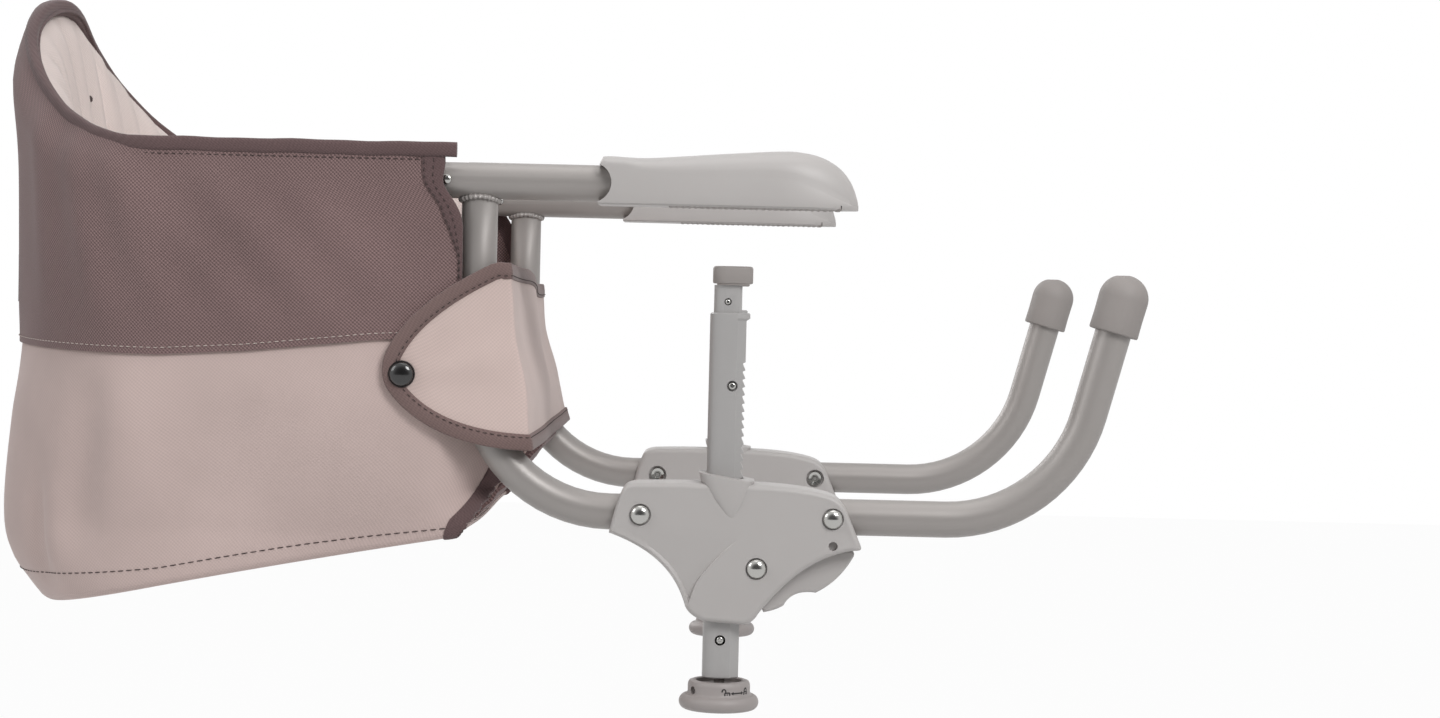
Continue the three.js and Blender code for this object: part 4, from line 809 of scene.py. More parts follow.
# Clamp posts: square bars of the sleeves' plastic that slide inside them, bored for the clamp screw.
# Each carries a warm grey rubber pad with rounded edges, which a small screw holds on its top.
post_size, clamp_pad_x, clamp_pad_size = 15.4, 130.0, 22.0
post_rings = []
for z, inset in ((-150.0, 0.5), (-149.4, 0.0), (-41.9, 0.0)):
    post_rings.append(post_ring(z, post_axis, post_size, post_size, 1.5, inset=inset))
post = carved(
    shaped(*loft(post_rings)),
    rod("y", post_screw, 2.0, 6.0, 12, 24),
    rod("z", (post_axis, 0.0), 3.4, -160, -40, 24),
)
add_pair("sliding_post", post, post_mould, "post", "clamp_post", smooth=30)
clamp_rings = []
for z, inset in ((-41.1, 0.9), (-40.8, 0.2), (-40.2, 0.0), (-33.0, 0.0), (-32.0, 0.35), (-31.6, 1.0), (clamp_z, 1.8)):
    clamp_rings.append(post_ring(z, clamp_pad_x, clamp_pad_size, clamp_pad_size, 2.0, inset=inset))
add_pair("rubber_clamp_pad", shaped(*loft(clamp_rings)), rubber, "post", "clamp_pad", smooth=40)

# Handwheels: matt warm grey mouldings on the clamp screws, a plain collar over a wide rounded rim.
# A sunk set screw holds each on its spindle, and small printed padlocks show which way it turns.
knob_mould = hard_finish("warm_grey_moulding", linear(160, 153, 151), 0.5, grain=2300, depth=0.08, mottle=0.03,
                         edges=0.12)
knob_top, knob_foot, collar_radius = -259.3, -275.3, 17.2
knob_profile = [(3.2, knob_top - 2.5), (12.5, knob_top - 2.5), (12.6, knob_top - 0.5), (13.2, knob_top),
                (15.0, knob_top), (16.4, knob_top - 0.5), (17.0, knob_top - 1.6), (collar_radius, knob_top - 3.0),
                (collar_radius, knob_foot + 9.6), (collar_radius + 0.6, knob_foot + 8.6), (18.4, knob_foot + 8.1)]
for step in range(1, 15):
    angle = math.pi / 2 - math.pi * step / 15
    knob_profile.append((18.2 + 3.8 * math.cos(angle), knob_foot + 4.1 + 4.1 * math.sin(angle)))
knob_profile += [(17.6, knob_foot), (14.0, knob_foot + 0.4), (12.0, knob_foot + 1.6), (0.02, knob_foot + 1.6)]
knob_rings = [[(px + post_axis, py, h) for px, py, h in ring] for ring in turned(knob_profile, 72)]
set_screw = Vector((-0.83, 0.56, 0)).normalized()
set_screw_level = Matrix.Translation((post_axis * 0.001, 0, -0.2643))
recess = rod("z", (0.0, 0.0), 2.3, 14.0, 24.0, 32)
recess.transform(set_screw_level @ set_screw.to_track_quat("Z", "Y").to_matrix().to_4x4())
knob = carved(shaped(*loft(knob_rings)), recess)
add_pair("handwheel", knob, knob_mould, "knob", "clamp_knob", smooth=35)

plug = socket_screw(1.75, 14.2, 16.2)
plug.transform(Matrix.Rotation(math.atan2(-set_screw.x, set_screw.y), 4, "Z"))
plug.transform(set_screw_level)
add_pair("knob_set_screw", plug, knob_mould, "knob", smooth=35)
black_ink = hard_finish("printed_marks", linear(44, 42, 42), 0.6, grain=900, depth=0.02)
mark_turn, mark_drop, stroke_width, stroke_step = math.radians(36), 5.0, 0.75, 0.8
mark_points, mark_faces = [], []


def add_mark(spots):
    """One printed patch, wrapped on the handwheel's collar; spots are (along, up) in millimetres."""
    base = len(mark_points)
    for lift in (0.02, 0.1):
        for along, rise in spots:
            angle = mark_turn + along / collar_radius
            spread = collar_radius + lift
            mark_points.append((post_axis + spread * math.sin(angle), spread * math.cos(angle),
                                knob_top - mark_drop + rise))
    count = len(spots)
    mark_faces.append(tuple(base + count + i for i in range(count)))
    mark_faces.append(tuple(base + i for i in range(count))[::-1])
    for i in range(count):
        j = (i + 1) % count
        mark_faces.append((base + i, base + j, base + count + j, base + count + i))


def add_stroke(spots):
    """A printed line through the spots, in patches short enough to follow the collar."""
    for (x0, z0), (x1, z1) in zip(spots, spots[1:]):
        span = math.hypot(x1 - x0, z1 - z0) or 1.0
        nx, nz = -(z1 - z0) / span * stroke_width / 2, (x1 - x0) / span * stroke_width / 2
        cuts = np.linspace(0, 1, max(2, int(span / stroke_step) + 1))
        for a, b in zip(cuts, cuts[1:]):
            xa, za, xb, zb = x0 + (x1 - x0) * a, z0 + (z1 - z0) * a, x0 + (x1 - x0) * b, z0 + (z1 - z0) * b
            add_mark([(xa - nx, za - nz), (xb - nx, zb - nz), (xb + nx, zb + nz), (xa + nx, za + nz)])


for centre, opened in ((-6.0, True), (6.4, False)):
    left, right = centre - 1.4, centre + 1.4
    add_stroke([(left, -2.0), (right, -2.0), (right, 0.0), (left, 0.0), (left, -2.0)])
    add_stroke([(centre, -1.3), (centre, -0.7)])
    shift = -1.9 if opened else 0.0
    arch = [(centre + shift + 1.0 * math.cos(a), 0.9 + 1.0 * math.sin(a)) for a in np.linspace(0, math.pi, 9)]
    add_stroke([(arch[0][0], 0.0), *arch, (arch[-1][0], 0.4 if opened else 0.0)])
add_stroke([(-2.9, -0.4), (3.3, -0.4)])
for tip, tail in ((-4.0, -2.4), (4.4, 2.8)):
    add_mark([(tip, -0.4), (tail, 0.55), (tail, -1.35)])
add_pair("knob_marks", shaped(mark_points, mark_faces), black_ink, "knob")
for side in ("left", "right"):
    repaint(f"clamp_screw_{side}", plated)

# Hoop rivets: plated domed rivets through the arms' rear ends, on which the back hoop folds. The
# hoop itself is the frame's tube, hidden in the seat's rim.
rivet_profile = [(0.02, -11.2), (1.8, -11.1), (2.7, -10.6), (2.75, -10.3), (2.0, -10.25), (2.0, 10.25), (2.75, 10.3)]
rivet_profile += dome(2.75, 10.5, 1.1, 7)
rivet = shaped(*loft(sideways(rivet_profile, pivot_x, arm_height, 28)))
add_pair("domed_rivet", rivet, plated, "frame", "hoop_rivet", smooth=45)
repaint("back_hoop", tube_coat)


# Upper band: dark taupe twill, sewn round the hoop and carried up across the back as a padded
# hump. It hangs from the rim in soft slanting folds, and its front edges are bound with tape.
def woven_finish(name, colour, thread, contrast, depth, cloud=0.06, sheen=0.25, coords="weave"):
    """Twill cloth: slanting ribs a thread wide, broken by the yarns across them, drifting in tone."""
    finish = bpy.data.materials.new(name)
    finish.use_nodes = True
    tree = finish.node_tree
    shader = tree.nodes["Principled BSDF"]
    shader.inputs["Roughness"].default_value = 0.95
    shader.inputs["Specular IOR Level"].default_value = 0.1
    shader.inputs["Sheen Weight"].default_value = sheen
    shader.inputs["Sheen Roughness"].default_value = 0.5
    if coords == "weave":
        place = add_node(tree, "ShaderNodeUVMap", {"uv_map": "weave"}).outputs["UV"]
    else:
        place = add_node(tree, "ShaderNodeTexCoord").outputs["Object"]
    solid = add_node(tree, "ShaderNodeTexCoord").outputs["Object"]
    slant = add_node(tree, "ShaderNodeMapping", Rotation=(0, 0, 0.8) if coords == "weave" else (0.9, 0.6, 0.8))
    tree.links.new(place, slant.inputs["Vector"])
    bands = 2 * math.pi / (20 * thread)
    ribs = add_node(tree, "ShaderNodeTexWave", {"wave_type": "BANDS", "bands_direction": "X"}, Scale=bands,
                    Distortion=0.5, Detail=2.0, Detail_Scale=2.0)
    yarns = add_node(tree, "ShaderNodeTexWave", {"wave_type": "BANDS", "bands_direction": "Y"}, Scale=bands * 0.9,
                     Distortion=0.5, Detail=1.0)
    fuzz = add_node(tree, "ShaderNodeTexNoise", Scale=1800.0, Detail=2.0)
    drift = add_node(tree, "ShaderNodeTexNoise", Scale=14.0, Detail=3.0)
    for node, source in ((ribs, slant.outputs[0]), (yarns, slant.outputs[0]), (fuzz, solid), (drift, solid)):
        tree.links.new(source, node.inputs["Vector"])
    cross = add_node(tree, "ShaderNodeMix", {"data_type": "FLOAT"})
    cross.inputs["Factor"].default_value = 0.4
    tree.links.new(ribs.outputs["Fac"], cross.inputs["A"])
    tree.links.new(yarns.outputs["Fac"], cross.inputs["B"])
    weave = add_node(tree, "ShaderNodeMix", {"data_type": "FLOAT"})
    weave.inputs["Factor"].default_value = 0.22
    tree.links.new(cross.outputs["Result"], weave.inputs["A"])
    tree.links.new(fuzz.outputs["Fac"], weave.inputs["B"])
    yarn_tone = add_node(tree, "ShaderNodeMix", {"data_type": "RGBA"})
    yarn_tone.inputs["A"].default_value = shaded(colour, 1 - contrast)
    yarn_tone.inputs["B"].default_value = shaded(colour, 1 + contrast)
    tree.links.new(weave.outputs["Result"], yarn_tone.inputs["Factor"])
    tint = add_node(tree, "ShaderNodeMapRange", From_Min=0.3, From_Max=0.7, To_Min=1 - cloud, To_Max=1 + cloud)
    tree.links.new(drift.outputs["Fac"], tint.inputs["Value"])
    toned = add_node(tree, "ShaderNodeMix", {"data_type": "RGBA", "blend_type": "MULTIPLY"})
    toned.inputs["Factor"].default_value = 1.0
    tree.links.new(yarn_tone.outputs["Result"], toned.inputs["A"])
    tree.links.new(tint.outputs["Result"], toned.inputs["B"])
    tree.links.new(toned.outputs["Result"], shader.inputs["Base Color"])
    relief = add_node(tree, "ShaderNodeBump", Strength=depth, Distance=0.0005)
    tree.links.new(cross.outputs["Result"], relief.inputs["Height"])
    tree.links.new(relief.outputs["Normal"], shader.inputs["Normal"])
    return finish


seat_corner, seat_rear, seat_half = -182.9, -296.3, 173.9
hem_z, rim_z, hump_height = -84.0, 31.5, 92.5
back_curve = smooth_curve([(hem_z - 164, 28), (hem_z - 152, 20), (hem_z - 138, 7), (hem_z - 124, -3),
                           (hem_z - 100, -8.5), (hem_z - 47, -4), (hem_z, 0), (arm_height, 0), (rim_z + 28, -5.0),
                           (rim_z + 50, -6.8), (rim_z + 70, -5.6), (rim_z + 84, -0.5), (rim_z + hump_height, 5)], 240)
base_front, base_front_z, base_slope, base_half = -24.0, -184.0, 0.173, 162.0


def back_x(z):
    return seat_rear + np.interp(z, back_curve[:, 0], back_curve[:, 1])


def half_width(z):
    share = np.clip((hem_z - z) / (hem_z - base_front_z), 0, 1)
    return seat_half + (base_half - seat_half) * share ** 2


def base_z(x):
    return base_front_z + base_slope * (x - base_front)


def hump_share(angle, side):
    """0 along the sides, 1 at the hump's crest, which leans a little to the left."""
    across = side * np.cos(angle)
    leaning = across - 0.12 * (1 - across ** 2)
    return np.maximum(0, np.cos(math.pi / 2 * leaning)) ** np.where(side > 0, 1.3, 1.2)


# Places round the seat, from the right front edge round the back to the left one.
side_steps, back_steps = 26, 34
half_places = [(a, 0.0) for a in np.linspace(0, 1, side_steps + 1)]
half_places += [(1.0, a) for a in np.linspace(0, math.pi / 2, back_steps + 1)[1:]]
places = [(a, b, -1.0) for a, b in half_places] + [(a, b, 1.0) for a, b in half_places[-2::-1]]
along_share = np.array([p[0] for p in places])
back_angle = np.array([p[1] for p in places])
hand = np.array([p[2] for p in places])


def seat_points(z, front, inset):
    """Points round the seat at the heights z, which may differ from place to place."""
    straight = front + (seat_corner - front) * along_share
    x = straight + (back_x(z) + inset - seat_corner) * np.sin(back_angle)
    y = hand * (half_width(z) - inset) * np.cos(back_angle)
    return np.stack([x, y, z + 0 * x], axis=-1)


def grid_normals(grid, spots=None, axis=0, sign=1):
    """Normals of a cloth's grid, turned so that at the spots they point along the axis."""
    down = np.gradient(grid, axis=0)
    along = np.gradient(grid, axis=1)
    normal = np.cross(along, down)
    normal = normal / np.maximum(np.linalg.norm(normal, axis=2, keepdims=True), 1e-9)
    return normal if spots is None or sign * np.mean(normal[spots][..., axis]) > 0 else -normal


def lengths_along(path):
    """Distance from a path's start to each of its points."""
    return np.concatenate([[0], np.cumsum(np.linalg.norm(np.diff(path, axis=0), axis=1))])


def points_at(marks, scale, path):
    """Points of a path where a scale along it reaches the marks."""
    return np.stack([np.interp(marks, scale, path[:, c]) for c in range(path.shape[1])], axis=-1)


def grid_lengths(grid):
    """Distance round each row and up each column, for the weave."""
    across = np.linalg.norm(np.diff(grid, axis=1), axis=2).mean(axis=0)
    upwards = np.linalg.norm(np.diff(grid, axis=0), axis=2)
    u = np.concatenate([[0], np.cumsum(across)])
    v = np.vstack([np.zeros(grid.shape[1]), np.cumsum(upwards, axis=0)])
    return np.broadcast_to(u, grid.shape[:2]), v


def cloth_mesh(grid, thickness, outside=None):
    """A closed sheet of cloth from a grid of points on its middle, with weave coordinates."""
    normal = grid_normals(grid) if outside is None else outside
    rows, columns = grid.shape[:2]
    front, back = grid + normal * thickness / 2, grid - normal * thickness / 2
    points = np.vstack([front.reshape(-1, 3), back.reshape(-1, 3)])
    count = rows * columns
    faces = []
    for i in range(rows - 1):
        for j in range(columns - 1):
            a = i * columns + j
            faces.append((a, a + 1, a + columns + 1, a + columns))
            faces.append((count + a, count + a + columns, count + a + columns + 1, count + a + 1))
    loop = list(range(columns)) + [i * columns + columns - 1 for i in range(1, rows)]
    loop += [(rows - 1) * columns + j for j in range(columns - 2, -1, -1)]
    loop += [i * columns for i in range(rows - 2, 0, -1)]
    for a, b in zip(loop, loop[1:] + loop[:1]):
        faces.append((b, a, count + a, count + b))
    mesh = shaped(points.tolist(), faces)
    u, v = grid_lengths(grid)
    flat = 0.001 * np.stack([u.ravel(), v.ravel()], axis=1)
    flat = np.vstack([flat, flat])
    layer = mesh.uv_layers.new(name="weave")
    corners = np.zeros(len(mesh.loops), np.int32)
    mesh.loops.foreach_get("vertex_index", corners)
    layer.data.foreach_set("uv", flat[corners].astype(np.float32).ravel())
    return mesh


def ridge(u, v, start, end, width, height):
    """A soft fold along a line on the cloth, fading out at both of its ends."""
    run = np.array(end, float) - np.array(start, float)
    length = np.linalg.norm(run)
    along = ((u - start[0]) * run[0] + (v - start[1]) * run[1]) / length
    off = ((u - start[0]) * -run[1] + (v - start[1]) * run[0]) / length
    fade = np.clip(along / length, 0, 1)
    ends = np.clip((along + 12) / 30, 0, 1) * np.clip((length + 12 - along) / 30, 0, 1)
    crest = np.sin(math.pi * np.clip(fade * 0.8 + 0.1, 0, 1))
    return height * np.exp(-(off / (1.5 * width)) ** 2) * ends * crest


def add_seat_piece(name, mesh, finish, nodes=(), smooth=60):
    """A piece of the seat: it rides on the hoop, with a mesh of its own."""
    piece = add_piece(name, mesh, finish, "hoop", nodes, smooth)
    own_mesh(piece)
    return piece


rim_height = rim_z + hump_height * hump_share(back_angle, hand)
band_rows = 34
cloth_thickness = 1.6


def band_front(z):
    return np.interp(z, [-90, -12, -6, -1.8, 3.8, 6.6, 10.6, 14, 20.6, 32],
                     [-18.2, -18.6, -20.2, -22.4, -26.2, -28.2, -30.2, -29.8, -28.8, -29.3])


def ease(value):
    value = np.clip(value, 0, 1)
    return value * value * (3 - 2 * value)


near_curl = np.where(hand < 0, 10.5 * np.sin(2 * back_angle), 0.0)
hem_line = np.interp(along_share, [0, 0.15, 0.29, 0.71, 1], [-74.5, -75.2, -76.5, -84, -87])
hem_line = hem_line + 3.5 * np.sin(back_angle) ** 2
band_grid = []
for level in np.linspace(0, 1, band_rows + 1):
    z = hem_line + (rim_height - 1.0 - hem_line) * level
    curl = near_curl * ease((z - rim_height + 30) / 30)
    band_grid.append(seat_points(z, band_front(z), 1.0 + curl))
band_grid = np.array(band_grid)
round_lengths = lengths_along(band_grid[10])
cloth_u = np.minimum(round_lengths, round_lengths[-1] - round_lengths)
band_v = band_grid[..., 2]
band_ridges = [((150, 20), (60, -78), 9, 4.0), ((186, 15), (104, -80), 8, 3.4), ((100, 15), (30, -60), 8, 2.6),
               ((214, 60), (150, -84), 8, 4.0), ((232, 70), (196, -80), 8, 3.6), ((268, 90), (246, -75), 10, 2.6),
               ((320, 100), (318, -80), 16, 2.0)]
band_fold = 1.1 * sum(ridge(cloth_u, band_v, *line) for line in band_ridges)
band_fold = band_fold * np.clip((band_v - hem_z + 2) / 14, 0, 1) * np.clip((rim_height - band_v) / 16, 0, 1)
band_normal = grid_normals(band_grid, np.s_[5, :20], 1, -1)
band_grid = band_grid + band_normal * band_fold[..., None]
dark_twill = woven_finish("dark_taupe_twill", linear(129, 107, 106), 0.0014, 0.62, 0.5)
band = add_seat_piece("upper_band", cloth_mesh(band_grid, cloth_thickness, band_normal), dark_twill,
                      ["seat_upper_band"])


# Lower body: pale taupe twill sewn under the band's hem. Its sides and back are one strip, and the
# bottom is let in along a stitched seam that stands just above the edge.
def body_front(z):
    return np.interp(z, [-192, -188, -180, -171, -164, -152, -142, -125, -84],
                     [-30, -25, -15.5, -9, -4.5, 3.5, 8.5, 6, -20])


def base_edge(x):
    """The bottom edge's height; towards the back it hangs a little lower than the base pad."""
    return base_z(x) - 0.4 - 6.5 * ((base_front - x) / 246) ** 2


body_rows, body_inset, edge_round, hem_overlap = 30, 1.2, 3.5, 4.0
body_grid = []
bottom_z = base_z(seat_points(np.full(len(places), base_front_z), base_front, 0.0)[:, 0])
for _ in range(4):
    bottom_x = seat_points(bottom_z, body_front(bottom_z), 0.0)[:, 0]
    bottom_z = base_edge(bottom_x)
for level in np.linspace(0, math.pi / 2, 7)[:-1]:
    z = bottom_z + edge_round * (1 - math.cos(level))
    body_grid.append(seat_points(z, body_front(z), body_inset + edge_round * (1 - math.sin(level))))
for level in np.linspace(0, 1, body_rows + 1):
    z = bottom_z + edge_round + (hem_line + hem_overlap - bottom_z - edge_round) * level
    x = seat_points(z, body_front(z), body_inset)[:, 0]
    behind_tube = 24.0 * ease((x + 30) / 24) * ease((z + 178) / 22)
    body_grid.append(seat_points(z, body_front(z), body_inset + 1.8 * level ** 6 + behind_tube))
body_grid = np.array(body_grid)
body_v = body_grid[..., 2]
body_ridges = [((205, -95), (212, -195), 9, -3.4), ((180, -95), (186, -200), 12, 2.6),
               ((120, -100), (128, -185), 18, -1.8), ((75, -95), (90, -180), 20, 1.6),
               ((248, -150), (252, -235), 6, -3.4), ((300, -100), (300, -220), 20, 1.6),
               ((232, -150), (226, -230), 8, 2.2)]
body_fold = 1.4 * sum(ridge(cloth_u, body_v, *line) for line in body_ridges)
body_fold = body_fold * np.clip((hem_z - 2 - body_v) / 14, 0, 1) * np.clip((body_v - bottom_z - 6) / 16, 0, 1)
body_normal = grid_normals(body_grid, np.s_[20, :20], 1, -1)
body_grid = body_grid + body_normal * body_fold[..., None]
pale_twill = woven_finish("pale_taupe_twill", linear(202, 182, 177), 0.0014, 0.1, 0.1)
body_piece = add_seat_piece("lower_body", cloth_mesh(body_grid, cloth_thickness, body_normal), pale_twill,
                            ["seat_lower_body"])

# Bottom: one panel of the same twill, cut to the body's outline and sewn in under its lower edge. It
# spans from side to side in rows, and sags a little between them.
edge_line = body_grid[0]
bottom_columns, bottom_sag, bottom_lift = 29, 3.0, 0.9
bottom_grid = []
for far_end, near_end in list(zip(edge_line[::-1], edge_line))[:len(places) // 2]:
    span = abs(near_end[1]) / np.abs(edge_line[:, 1]).max()
    row = far_end + (near_end - far_end) * np.linspace(0, 1, bottom_columns)[:, None]
    arch = np.sin(np.linspace(0, math.pi, bottom_columns))
    row[:, 2] += bottom_lift * span * arch - bottom_sag * span * arch ** 2
    bottom_grid.append(row)
bottom_grid = np.array(bottom_grid)
bottom_normal = np.zeros_like(bottom_grid)
bottom_normal[..., 2] = -1
bottom = add_seat_piece("bottom_panel", cloth_mesh(bottom_grid, cloth_thickness, bottom_normal), pale_twill)


# Bindings: dark tape folded over the raw front edges of the band and the body, and stitched through.
# Rows of thread dashes also run along the band's hem and above the seat's lower edge.
dark_tape = woven_finish("dark_binding_tape", linear(105, 86, 86), 0.0012, 0.16, 0.35, coords="object")
pale_thread = hard_finish("pale_thread", linear(196, 182, 176), 0.8, grain=2500, depth=0.3)
dark_thread = hard_finish("dark_thread", linear(66, 54, 53), 0.8, grain=2500, depth=0.3)


def bound_edge(grid, normals, columns, marks, width, thickness, frill=0.0):
    """Tape folded over a cloth's edge; columns run inwards from the edge, and marks along it."""
    levels = np.arange(len(grid))
    spots, faces_out = (np.array([points_at(marks, levels, source[:, j]) for j in columns])
                        for source in (grid, normals))
    rings = []
    for k, wide in enumerate(width):
        travel = lengths_along(spots[:, k])
        off_edge = (spots[0, k] - spots[1, k]) / travel[1]
        tuck = frill * (math.sin(k * 0.9) + 0.7 * math.sin(k * 2.3 + 1))
        half = thickness / 2
        ring = []
        for b, n in ((-0.9, 0.0), (-0.7, half * 0.7), (0.2, half), (wide * 0.3, half * 1.08), (wide * 0.6, half * 1.08),
                     (wide * 0.9, half), (wide, half * 0.75), (wide, -0.9), (wide * 0.6, -1.0), (wide * 0.3, -1.0),
                     (0.2, -1.0), (-0.7, -0.7)):
            past_edge = max(-b, 0) + (tuck if b < 1 else 0)
            lift = points_at(b, travel, faces_out[:, k]) * n
            ring.append(tuple(points_at(b, travel, spots[:, k]) + off_edge * past_edge + lift))
        rings.append(ring)
    return shaped(*loft(rings))


def stitched(path, normals, length=2.6, gap=1.3, radius=0.27):
    """A row of thread dashes along a path, lying on the cloth."""
    travel = lengths_along(path)
    points, faces = [], []
    start = gap
    while start + length < travel[-1]:
        rings = []
        for share, bulge, lift in ((0, 0.25, -0.25), (0.2, 0.9, 0.15), (0.5, 1.0, 0.25), (0.8, 0.9, 0.15),
                                   (1, 0.25, -0.25)):
            mark, thick = start + length * share, radius * bulge
            spot, normal = points_at(mark, travel, path), points_at(mark, travel, normals)
            side = np.cross(points_at(mark + 0.4, travel, path) - spot, normal)
            side /= max(np.linalg.norm(side), 1e-9)
            rings.append([tuple(spot + normal * (lift + thick * math.sin(a)) + side * thick * math.cos(a))
                          for a in np.linspace(0, 2 * math.pi, 7)[:-1]])
        more_points, more_faces = loft(rings)
        base = len(points)
        points += more_points
        faces += [tuple(base + i for i in f) for f in more_faces]
        start += length + gap
    return shaped(points, faces)


def add_seam(name, path, normals, lift, thread, slot, *dashes):
    """A row of stitches on the seat's cloth."""
    return add_seat_piece(name, stitched(path + normals * lift, normals, *dashes), thread, smooth=38)


def inset_line(edge, inner, reach):
    """The line that lies the given reach from an edge, towards an inner line."""
    return edge + (inner - edge) / np.linalg.norm(inner - edge, axis=1, keepdims=True) * reach


on_cloth = cloth_thickness / 2 + 0.05
tape_thickness, tape_lift = 3.4, 1.85
leg_thickness, leg_frill = 3.8, 0.7
for side, columns in (("right", range(0, 8)), ("left", range(-1, -9, -1))):
    marks = np.linspace(0, band_rows, 90)
    edge_z = band_grid[:, columns[0], 2]
    front_width = np.interp(edge_z, [-30, -20.7, -8.5, -1.8, 9, 20], [1.2, 4.8, 9.6, 8.8, 9.5, 12.0])
    tape_width = np.interp(marks, np.arange(band_rows + 1), front_width)
    tape = bound_edge(band_grid, band_normal, columns, marks, tape_width, tape_thickness)
    add_seat_piece(f"band_front_binding_{side}", tape, dark_tape)
    for row, reach in (("outer", 0.45), ("inner", 0.9)):
        seam_path = inset_line(band_grid[:, columns[0]], band_grid[:, columns[2]], reach * front_width[:, None])
        add_seam(f"band_front_stitching_{row}_{side}", seam_path, band_normal[:, columns[1]], tape_lift, dark_thread,
                 "dark_fabric")
    marks = np.linspace(2.0, 19, 90)
    edge_z = np.interp(marks, np.arange(len(body_grid)), body_grid[:, columns[0], 2])
    leg_width = np.interp(edge_z, [-188, -184, -180, -172, -164, -150, -140], [2.0, 6.5, 10.4, 13.5, 12.0, 11.0, 10.6])
    tape = bound_edge(body_grid, body_normal, columns, marks, leg_width, leg_thickness, leg_frill)
    add_seat_piece(f"leg_binding_{side}", tape, dark_tape)

hem_path = inset_line(band_grid[0], band_grid[2], 3.6)
add_seam("hem_stitching", hem_path, band_normal[1], on_cloth, pale_thread, "pale_fabric")
base_line = bottom_z + (np.interp(along_share, [0, 0.25, 1], [6.0, 8.5, 9.5]) + 9.0 * np.sin(back_angle))
base_path, base_normals = (np.array([points_at(base_line[k], body_grid[:, k, 2], source[:, k])
                                     for k in range(len(places))]) for source in (body_grid, body_normal))
add_seam("base_stitching", base_path, base_normals, on_cloth, dark_thread, "dark_fabric", 4.0, 1.0, 0.3)

# Rim: the band's top edge, folded in over the liner. It is a flat tape along the sides and swells
# into a padded roll over the hump, with a thin dark piping on its inner side.
rim_share = hump_share(back_angle, hand)
rim_path = seat_points(rim_height, band_front(rim_height), 0.0)
plan = np.gradient(rim_path[:, :2], axis=0)
plan /= np.linalg.norm(plan, axis=1, keepdims=True)
rim_out = np.stack([-plan[:, 1], plan[:, 0], 0 * plan[:, 0]], axis=1)
if rim_out[5, 1] > 0:
    rim_out = -rim_out
roll_half = 2.4 + 2.8 * rim_share ** 2
roll_drop = 4.1 + 1.0 * rim_share
overhang = np.array([7.5, 0, 0])
roll_places = [(rim_path[0] + overhang, 0)] + list(zip(rim_path, range(len(places))))
roll_places.append((rim_path[-1] + overhang, -1))
roll_rings, roll_sides = [], 24
for step, (spot, k) in enumerate(roll_places):
    wobble = 0.35 * math.sin(step * 0.55) + 0.25 * math.sin(step * 1.3 + 1)
    inwards = near_curl[k] + roll_half[k] - 1.2 - 1.5 * ease(1 - 6 * along_share[k])
    middle = spot - rim_out[k] * inwards + np.array([0, 0, 0.6 - roll_drop[k] + wobble * 0.6])
    ring = []
    for i in range(roll_sides):
        a = 2 * math.pi * i / roll_sides
        c, s = math.cos(a), math.sin(a)
        across = math.copysign(abs(c) ** 0.75, c) * (roll_half[k] + 0.25 * wobble)
        rise = math.copysign(abs(s) ** 0.8, s) * roll_drop[k]
        ring.append(tuple(middle + rim_out[k] * across + np.array([0, 0, rise])))
    roll_rings.append(ring)
add_seat_piece("rim_roll", shaped(*loft(roll_rings)), dark_tape)
seam_drop = 2 * roll_drop - 0.2
rim_seam_path = band_grid[-1] - np.stack([0 * seam_drop, 0 * seam_drop, seam_drop], axis=1)
seam_end = side_steps + 12
add_seam("rim_stitching", rim_seam_path[:seam_end], band_normal[-1][:seam_end], cloth_thickness / 2 + 0.2, dark_thread,
         "dark_fabric")
pipe_radius, pipe_rings = 1.1, []
for k in np.where(rim_share > 0.02)[0]:
    inwards = near_curl[k] + 2 * roll_half[k] - 1.2
    middle = rim_path[k] - rim_out[k] * inwards + np.array([0, 0, 0.4 - 1.35 * roll_drop[k]])
    ring = [tuple(middle + rim_out[k] * pipe_radius * math.cos(a) + np.array([0, 0, pipe_radius * math.sin(a)]))
            for a in np.linspace(0, 2 * math.pi, 9)[:-1]]
    pipe_rings.append(ring)
add_seat_piece("hump_piping", shaped(*loft(pipe_rings)), dark_tape)

# Liner: off-white quilted cloth inside the bucket. It folds over the padded hoop at the rim and
# hangs down inside it to the seat's floor, with sewn channels round the back.
liner_cloth = woven_finish("off_white_quilting", linear(228, 214, 209), 0.0014, 0.05, 0.3, cloud=0.03)
liner_front, liner_inset, liner_thickness = -41.0, 27.6, 2.6
channel_width, channel_puff, floor_rise = 27.0, 4.6, 10.5
liner_top = rim_height - (1.2 + 0.4 * rim_share) * roll_drop
liner_lip = near_curl + 2 * roll_half - 2.4
lip_reach = 3.2 + 17.8 * rim_share
seat_floor = np.full(len(places), -190.0)
floor_at = base_z(seat_points(seat_floor, -36.0, 28.0)[:, 0]) + floor_rise
channel = np.abs(((cloth_u / channel_width) % 1.0) - 0.5) * channel_width
quilting = channel_puff * (1 - np.exp(-(channel / 4.5) ** 2)) * np.clip((cloth_u - 150) / 30, 0, 1)
liner_grid = []
for level in np.concatenate([np.linspace(0, 0.22, 14)[:-1], np.linspace(0.22, 1, 24)]):
    z = liner_top + (floor_at - liner_top) * level
    inset = liner_lip + (liner_inset - liner_lip) * (1 - np.exp(-(liner_top - z) / lip_reach))
    liner_grid.append(seat_points(z, liner_front, inset + quilting * np.clip((liner_top - z) / 12, 0, 1)))
liner_grid = np.array(liner_grid)
liner_normal = grid_normals(liner_grid, np.s_[20, :20], 1, -1)
liner = add_seat_piece("quilted_liner", cloth_mesh(liner_grid, liner_thickness, liner_normal), liner_cloth,
                       ["seat_liner"])

